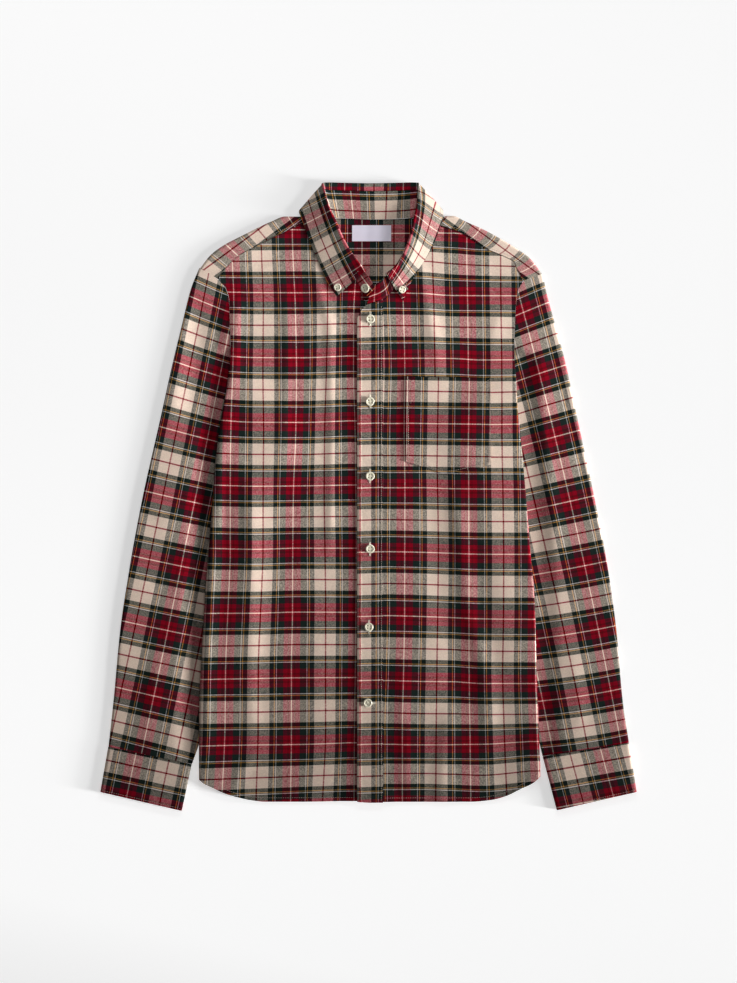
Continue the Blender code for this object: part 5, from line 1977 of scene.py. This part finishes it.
@dataclass
class Buttons:
    """The nine buttons, each with its four holes and the thread through them."""

    hole_radius: float = 0.8
    hole_spacing: float = 1.8  # of the holes' middles from both axes of the button
    well_blur: float = 0.12  # half the width of a hole's sloping wall
    well_floor: float = 0.25
    sides: int = 72
    rings: int = 64
    top_rings: int = 36
    thickness: float = 2.3
    thread_radius: float = 0.2
    thread_top: float = 1.82
    strand_gap: float = 0.3  # of each of the two strands from the middle of their bar
    strand_dip: float = 1.6
    pinch: float = 0.9  # of a bar's width
    # The dark domes at the bottom of the wells are painted shade: they stand in for the shadow in the
    # buttons' holes.
    shade_dome_rise: float = 0.35
    shade_dome_share: float = 0.93  # of the hole's radius
    seat_gap: float = 0.1  # under the collar points' buttons
    point_tilt: float = 0.3  # share of the collar's slope that a point's button keeps
    sharp: float = 75.0  # degrees over which an edge isn't shaded smooth

    def seat(self, node: str) -> Part:
        """Where a button sits, from its CAD node's own mesh.

        Args:
            node: The node's name.

        Returns:
            Middle of its underside and its axis, in which the node's points spread least.
        """
        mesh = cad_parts[node].data
        points = np.empty(len(mesh.vertices) * 3)
        mesh.vertices.foreach_get("co", points)
        points = points.reshape(-1, 3) / MM
        middle = (points.min(0) + points.max(0)) / 2
        _, _, axes = np.linalg.svd(points - points.mean(0), full_matrices=False)
        axis = axes[2] * np.sign(axes[2][2])
        return middle - axis * self.thickness / 2, axis

    def turned(self, radius: float) -> Part:
        """The profile turned round the axis, with four wells that fall to their floor.

        A well is a smooth step of the distance from its hole's middle.

        Args:
            radius: The button's radius.

        Returns:
            Its points and quads.
        """
        fine = along(np.array(BUTTON_PROFILE) * (radius, 1.0), unit(self.rings))
        angle = full_turn(self.sides)
        x, y = fine[:, :1] * np.cos(angle), fine[:, :1] * np.sin(angle)
        z = np.broadcast_to(fine[:, 1:], x.shape)
        top = np.arange(self.rings)[:, None] < self.top_rings
        for hole_x, hole_y in self.holes():
            away = np.hypot(x - hole_x, y - hole_y)
            well = smooth((self.hole_radius + self.well_blur - away) / (2 * self.well_blur))
            z = np.where(top, z - well * (z - self.well_floor), z)
        return np.stack([x, y, z], -1).reshape(-1, 3), quads(*x.shape, True)[:, ::-1]

    def holes(self) -> list[Pair]:
        """Middles of the four holes."""
        return [(a * self.hole_spacing, b * self.hole_spacing) for a in (1, -1) for b in (1, -1)]

    def threads(self) -> Part:
        """Two bars of thread between opposite holes, each of two strands that dip into its wells.

        A strand is a tube round the arch top - dip share^6, for shares from -1 to 1 along it.

        Returns:
            Points and quads.
        """
        rings, sides = 15, 8
        share = np.linspace(-1.0, 1.0, rings)[:, None]
        angle = full_turn(sides)
        rise = self.thread_top - self.strand_dip * np.abs(share) ** 6
        caps = np.array([[0, 1, 2, 3], [0, 3, 4, 7], [4, 5, 6, 7]])
        faces = np.concatenate([quads(rings, sides, True)[:, ::-1], caps,
                                caps[:, ::-1] + (rings - 1) * sides])
        parts = []
        for sign in (1, -1):
            for strand in (-self.strand_gap, self.strand_gap):
                wide = strand + self.thread_radius * np.cos(angle)
                y = sign * self.hole_spacing + self.pinch * wide
                tube = np.broadcast_arrays(share * self.hole_spacing, y,
                                           rise + self.thread_radius * np.sin(angle))
                parts.append((np.stack(tube, -1).reshape(-1, 3), faces))
        return gathered(parts)

    def painted_shade_domes(self) -> Part:
        """A low dark dome at the bottom of each well, painted shade that makes the hole look dark:
        rings of a part of a sphere.

        Returns:
            Points and faces.
        """
        rings, sides = 3, 10
        angle = full_turn(sides)
        level = np.linspace(0.0, math.pi / 2.2, rings)[:, None]
        wide = self.shade_dome_share * self.hole_radius * np.cos(level)
        rise = self.well_floor + 0.02 + self.shade_dome_rise * np.sin(level)
        dome = np.stack(np.broadcast_arrays(wide * np.cos(angle), wide * np.sin(angle), rise), -1)
        dome = dome.reshape(-1, 3)
        fan = np.arange(1, sides - 1, 2)
        cap = np.stack([0 * fan, fan, fan + 1, fan + 2], -1)
        cap[-1] = (0, sides - 3, sides - 2, sides - 1)
        faces = np.concatenate([quads(rings, sides, True), cap + (rings - 1) * sides, cap[:, ::-1]])
        return gathered((dome + (x, y, 0.0), faces) for x, y in self.holes())

    def sunk(self, base: Array, leaf: Array) -> Array:
        """A seat moved down or up onto the collar leaf's upper face.

        Args:
            base: The CAD seat.
            leaf: The leaf's grid of points.

        Returns:
            The seat over the leaf's nearest point.
        """
        points = leaf[LEAF_OUTER:].reshape(-1, 3)
        nearest_one = points[np.argmin(np.hypot(points[:, 0] - base[0], points[:, 1] - base[1]))]
        return np.array([base[0], base[1], nearest_one[2] + CLOTH / 2 + self.seat_gap])

    def build(self, plastic: Material, thread: Material,
              shade: Material, leaf: Array) -> None:
        """Make every button on its CAD seat, one piece of all their threads and one of the dark domes
        that are painted shade in their holes.

        Args:
            plastic: The buttons' finish.
            thread: The threads' finish.
            shade: The finish of the dark domes, painted shade in the holes.
            leaf: The collar leaf's grid of points, on which the points' buttons lie.
        """
        threads, painted_shade_domes = [], []
        for place in BUTTONS:
            base, axis = self.seat(place.node)
            if "point" in place.node:
                base = self.sunk(base, leaf)
                upright = np.array([0.0, 0.0, 1.0 - self.point_tilt])
                axis = unit_length(axis * self.point_tilt + upright)
            turn = math.radians(place.turn)
            first = unit_length(np.cross((0.0, 1.0, 0.0), axis))
            second = np.cross(axis, first)
            spun = np.stack([first * math.cos(turn) + second * math.sin(turn),
                             second * math.cos(turn) - first * math.sin(turn), axis])
            button, bars, domes = (
                (points @ spun + base, faces) for points, faces in
                (self.turned(place.diameter / 2), self.threads(), self.painted_shade_domes()))
            piece = put_mesh(place.node + "_turned", button, plastic, sharp=self.sharp)
            declare(piece, "button_ivory", place.node)
            threads.append(bars)
            painted_shade_domes.append(domes)
        # The first piece holds the dark domes: painted shade in the buttons' holes.
        for name, parts, material in (("button_hole_painted_shade", painted_shade_domes, shade),
                                      ("button_threads", threads, thread)):
            piece = put_mesh(name, gathered(parts), material, sharp=self.sharp)
            declare(piece, "plaid_cloth")


# --- stitching

class Surface(Enum):
    """What a row of stitches lies on."""

    LEFT_FRONT = "left front"
    RIGHT_FRONT = "right front"
    PLACKET = "placket"
    POCKET = "pocket"
    YOKE = "yoke"


@dataclass(frozen=True)
class StitchRow:
    """A row of topstitching along a line of the photograph's places."""

    surface: Surface
    line: Rows


@dataclass
class Stitching:
    """Topstitching: little bars of thread, sunk by half into the cloth, at an even pitch."""

    pitch: float = 2.9
    length: float = 2.1
    radius: float = 0.24
    # Columns: share of the length from the middle, share of the radius, rise in radii.
    rings: Rows = ((-0.5, 0.35, -0.3), (-0.35, 0.9, 0.0), (0.0, 1.0, 0.08), (0.35, 0.9, 0.0),
                   (0.5, 0.35, -0.3))
    sides: int = 6

    @staticmethod
    def height(surface: Surface, x: Array, y: Array) -> Array:
        """Top of the cloth on a surface.

        Args:
            surface: What the stitches lie on.
            x: Points' x in millimetres.
            y: Their y.

        Returns:
            Heights in millimetres.
        """
        sheet = WALL + LAY_GAP
        lift = {Surface.PLACKET: sheet + 0.15, Surface.POCKET: sheet + 0.25}.get(surface, 0.0)
        level = front_level(RIGHT, x, y)
        if surface in (Surface.LEFT_FRONT, Surface.YOKE):
            left = front_level(LEFT, x, y)
            level = left if surface is Surface.LEFT_FRONT else np.where(x < 0, left, level)
        return level + front_relief(x, y) + CLOTH / 2 + lift

    def bars(self, path: Array) -> Part:
        """Bars along a path: rings of points across it, the end ones drawn in.

        Args:
            path: Points of the row in millimetres, on the cloth.

        Returns:
            Vertices and quads of all the row's bars.
        """
        run = run_along(path)
        count = max(int(run[-1] / self.pitch), 1)
        middle = (np.arange(count) + 0.5) * run[-1] / count
        share, size, sink = np.array(self.rings).T
        where = middle[:, None] + share * self.length
        centre = np.stack([np.interp(where, run, path[:, k]) for k in range(3)], -1)
        tangent = unit_length(centre[:, -1] - centre[:, 0])
        across = unit_length(np.cross(tangent, (0.0, 0.0, 1.0)))
        up = np.cross(across, tangent)
        angle = full_turn(self.sides)
        wide = (size[:, None] * np.cos(angle) * self.radius)[None, ..., None]
        tall = ((size[:, None] * np.sin(angle) + sink[:, None]) * self.radius)[None, ..., None]
        points = (centre[:, :, None] + up[:, None, None] * tall + across[:, None, None] * wide)
        caps = np.array([[3, 2, 1, 0], [5, 4, 3, 0], [24, 25, 26, 27], [24, 27, 28, 29]])
        faces = np.concatenate([quads(len(share), self.sides, True), caps])
        starts = (np.arange(count) * len(share) * self.sides)[:, None, None]
        return points.reshape(-1, 3), (faces + starts).reshape(-1, 4)

    def build(self, name: str, paths: Sequence[Array], thread: Material) -> Piece:
        """Make one piece of the stitches along all the paths."""
        piece = put_mesh(name, gathered(self.bars(path) for path in paths), thread, sharp=80.0)
        return declare(piece, "plaid_cloth")

    @staticmethod
    def leaf_paths(leaf: Array, inset: float) -> list[Array]:
        """Rows along the collar leaf's outer edge and its two front edges.

        Args:
            leaf: The leaf's grid of points.
            inset: Distance from the edges.

        Returns:
            Points of each row.
        """
        def inside(grid: Array) -> Array:
            """Points at the inset from the grid's last row, between the two rows on either side.

            Args:
                grid: Rows of points.

            Returns:
                One point for every column.
            """
            back = grid[::-1]
            step = np.linalg.norm(np.diff(back, axis=0), axis=2)
            far = np.concatenate([np.zeros((1, back.shape[1])), np.cumsum(step, axis=0)])
            seat = np.clip(np.sum(far < inset, axis=0) - 1, 0, len(back) - 2)
            column = np.arange(back.shape[1])
            near = far[seat, column]
            share = (inset - near) / np.maximum(far[seat + 1, column] - near, 1e-6)
            first, second = back[seat, column], back[seat + 1, column]
            return first + (second - first) * share[:, None]

        lifted = leaf + normals(leaf, False) * (CLOTH / 2)
        outer = lifted[LEAF_OUTER:]
        front = outer.transpose(1, 0, 2)
        return [inside(outer)[6:-6], inside(front)[2:-7], inside(front[::-1])[2:-7]]

    @staticmethod
    def tube_paths(shell: Shell, insets: Sequence[float]) -> list[Array]:
        """Rows across a flat tube's upper side.

        Args:
            shell: The tube's sheet.
            insets: Distances from its first or, under 0, its last line.

        Returns:
            Points of each row.
        """
        grid, paths = shell.grid, []
        length = float(np.linalg.norm(grid[-1, 0] - grid[0, 0]))
        for inset in insets:
            share = inset / length if inset > 0 else 1.0 + inset / length
            line = grid[int(round(share * (len(grid) - 1)))]
            over = line[line[:, 2] > 0.5 * (line[:, 2].min() + line[:, 2].max()) + 0.3]
            paths.append(over[np.argsort(over[:, 0])][2:-2] + (0.0, 0.0, shell.thickness / 2))
        return paths

    def path(self, row: StitchRow) -> Array:
        """Points every millimetre or so along a row, lifted to its surface.

        Args:
            row: The row.

        Returns:
            Its points.
        """
        x, y = plan(*np.asarray(row.line, float).T)
        points = np.column_stack([x, y])
        fine = along(points, unit(max(int(run_along(points)[-1]), 8)))
        return np.column_stack([fine, self.height(row.surface, fine[:, 0], fine[:, 1])])


STITCH_ROWS = (
    StitchRow(Surface.PLACKET, ((361, 306), (361, 801))),
    StitchRow(Surface.PLACKET, ((381.3, 306), (381.3, 801))),
    StitchRow(Surface.POCKET, ((408.6, 379), (408.3, 459.6), (424, 464.4), (446.3, 471),
                               (472.5, 466.6), (487.6, 462.6), (489.6, 460), (490, 379))),
    StitchRow(Surface.POCKET, ((409.4, 388), (413.6, 386), (410.4, 383), (413.6, 380))),
    StitchRow(Surface.POCKET, ((489.2, 380), (486, 382), (489, 384), (486.4, 386))),
    StitchRow(Surface.POCKET, ((409.8, 403), (489.5, 402.4))),
    StitchRow(Surface.LEFT_FRONT, ((212, 783), (226, 789.6), (238.7, 793.8), (251, 796.6),
                                   (265, 798), (355, 797.6))),
    StitchRow(Surface.RIGHT_FRONT, ((384.5, 798), (471, 798), (492, 796), (506, 792),
                                    (520, 785), (532, 779))),
    StitchRow(Surface.YOKE, ((303, 222), (281, 230.8), (259, 241.8), (239, 252.8),
                             (228, 262.5), (215, 275))),
    StitchRow(Surface.YOKE, ((440, 225), (456, 228), (471, 236.8), (488, 247.6),
                             (505, 253.8), (516.5, 259.5))),
)


# Half heights are in pixels: each buttonhole shows as worked ends above and below its button.
BUTTONHOLES: Rows = (
    (370.4, 319.1, 7.4), (370.2, 401.4, 7.2), (370, 476, 7.2), (370, 549, 7.2), (369, 627, 7.2),
)


def buttonhole_paths(stitching: Stitching) -> list[Array]:
    """Rows of close stitches along both sides of each upright buttonhole.

    Args:
        stitching: The stitches that will lie on them.

    Returns:
        Points of each row.
    """
    rows = [StitchRow(Surface.PLACKET, ((x + side, y - half), (x + side, y + half)))
            for x, y, half in BUTTONHOLES for side in (-0.55, 0.55)]
    last = [StitchRow(Surface.PLACKET, ((360.6, 702.9 + side), (375.4, 702.9 + side)))
            for side in (-0.55, 0.55)]
    return [stitching.path(row) for row in rows + last]


# --- studio

@dataclass
class Studio:
    """Pale floor, low soft light from the right, even sky and the camera straight above."""

    floor_size: float = 6.0
    floor_points: int = 9
    floor_drop: float = 0.05  # mm, so that no cloth touches it
    floor_key: float = 0.70
    floor_lamp: float = 0.936
    floor_reach: float = 1.02
    key_powers: tuple[float, ...] = (14.5, 6.7)
    key_aim: tuple[float, float, float] = (0.0, 0.16, 0.0)
    key_distance: float = 8.0
    key_elevations: tuple[float, ...] = (9.0, 20.0)
    key_azimuth: float = -12.0
    key_size: Pair = (1.0, 1.6)
    key_spread: float = 13.5  # of the grids in front of the key lamps, in degrees
    sky: float = 0.09
    lamp_power: float = 7.8
    lamp_place: tuple[float, float, float] = (0.22, 0.98, 0.9)
    lamp_size: Pair = (0.7, 0.4)
    lens: float = 85.0
    sensor: float = 36.0
    scale_height: float = 0.005  # of the level where a pixel is 1.28 mm
    clip_end: float = 20.0

    def build(self) -> None:
        """Make the floor, the lights and the camera."""
        self.floor()
        self.light()
        self.camera()

    def floor(self) -> None:
        """Make a level floor just under the cloth."""
        side = np.linspace(-self.floor_size / 2, self.floor_size / 2, self.floor_points) / MM
        x, y = np.meshgrid(side, side)
        points = np.stack([x, y, np.full_like(x, -self.floor_drop)], -1).reshape(-1, 3)
        paper = StudioPaper("studio_paper", self.sky, self.floor_key, self.floor_lamp,
                            self.lamp_place[:2], self.floor_reach)
        put_mesh("floor", (points, quads(*x.shape)), paper.make())

    @staticmethod
    def lamp(name: str, power: float, size: Pair) -> Piece:
        """Add a rectangular lamp that shines down.

        Args:
            name: Its name.
            power: Its power in watts.
            size: Its sides in metres.

        Returns:
            The lamp.
        """
        lamp = bpy.data.lights.new(name, "AREA")
        lamp.shape = "RECTANGLE"
        lamp.size, lamp.size_y = size
        lamp.energy = power
        obj = bpy.data.objects.new(name, lamp)
        bpy.context.scene.collection.objects.link(obj)
        return obj

    def light(self) -> None:
        """Make the two low key lamps on the right, the small lamp over the collar and the sky."""
        azimuth = math.radians(self.key_azimuth)
        for place, power in zip(self.key_elevations, self.key_powers):
            elevation = math.radians(place)
            towards = Vector((math.cos(elevation) * math.cos(azimuth),
                              math.cos(elevation) * math.sin(azimuth), math.sin(elevation)))
            key = self.lamp(f"studio_key_{place:.0f}", power, self.key_size)
            key.data.spread = math.radians(self.key_spread)
            key.location = Vector(self.key_aim) + towards * self.key_distance
            key.rotation_euler = towards.to_track_quat("Z", "Y").to_euler()
        self.lamp("studio_strip", self.lamp_power, self.lamp_size).location = self.lamp_place
        world = bpy.data.worlds.new("studio_sky")
        world.use_nodes = True
        background = world.node_tree.nodes["Background"]
        background.inputs["Color"].default_value = (1.0, 1.0, 1.0, 1.0)
        background.inputs["Strength"].default_value = self.sky
        bpy.context.scene.world = world
        bpy.context.scene.view_settings.view_transform = "Standard"

    def camera(self) -> None:
        """Make the camera, straight above and level with the photograph's frame."""
        data = bpy.data.cameras.new("studio_camera")
        data.lens = self.lens
        data.sensor_width = self.sensor
        data.clip_end = self.clip_end
        camera = bpy.data.objects.new("studio_camera", data)
        height = VIEW_HEIGHT * PIXEL * MM * self.lens / self.sensor
        camera.location = (0.0, (PICTURE_Y - VIEW_Y) * PIXEL * MM, height + self.scale_height)
        bpy.context.scene.collection.objects.link(camera)
        bpy.context.scene.camera = camera


# --- the whole shirt

def main() -> None:
    """Build every piece in order."""
    logging.basicConfig(level=logging.INFO, format="%(name)s: %(message)s", stream=sys.stdout)
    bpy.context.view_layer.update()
    Studio().build()
    plaid = TartanCloth("tartan").make()
    Back().build(plaid)
    Yoke().build(plaid)
    Sleeve("sleeve_right", LEFT, LEFT_SLEEVE_CHECK).build(plaid)
    Sleeve("sleeve_left", RIGHT, RIGHT_SLEEVE_CHECK).build(plaid)
    cuffs = [Cuff("cuff_right", LEFT, LEFT_CUFF_CHECK).build(plaid),
             Cuff("cuff_left", RIGHT, RIGHT_CUFF_CHECK).build(plaid)]
    Front("front_right", LEFT, 352.0, LEFT_FRONT_CHECK).build(plaid)
    Front("front_left", RIGHT, 350.5, RIGHT_FRONT_CHECK).build(plaid)
    Placket().build(plaid)
    Pocket().build(plaid)
    leaf = Collar().build(plaid)
    NeckLabel().build(LabelSatin("label_satin", (0.70, 0.66, 0.77)).make())
    # The near-black thread of the domes in the buttons' holes is painted shade.
    Buttons().build(PearlyPlastic("ivory_plastic", (0.76, 0.72, 0.57), (0.60, 0.55, 0.42)).make(),
                    Thread("button_thread", (0.62, 0.56, 0.42)).make(),
                    Thread("hole_painted_shade", (0.05, 0.035, 0.025)).make(), leaf.grid)
    stitching = Stitching()
    paths = [stitching.path(row) for row in STITCH_ROWS] + stitching.leaf_paths(leaf.grid, 5.6)
    for cuff in cuffs:
        paths += stitching.tube_paths(cuff, (3.2, -3.2))
    stitching.build("topstitching", paths, Thread("sewing_thread", (0.36, 0.29, 0.25)).make())
    worked = Stitching(1.1, 1.5, 0.3)
    worked.build("buttonhole_threads", buttonhole_paths(worked),
                 Thread("buttonhole_thread", (0.86, 0.82, 0.68)).make())


if __name__ == "__main__":
    main()
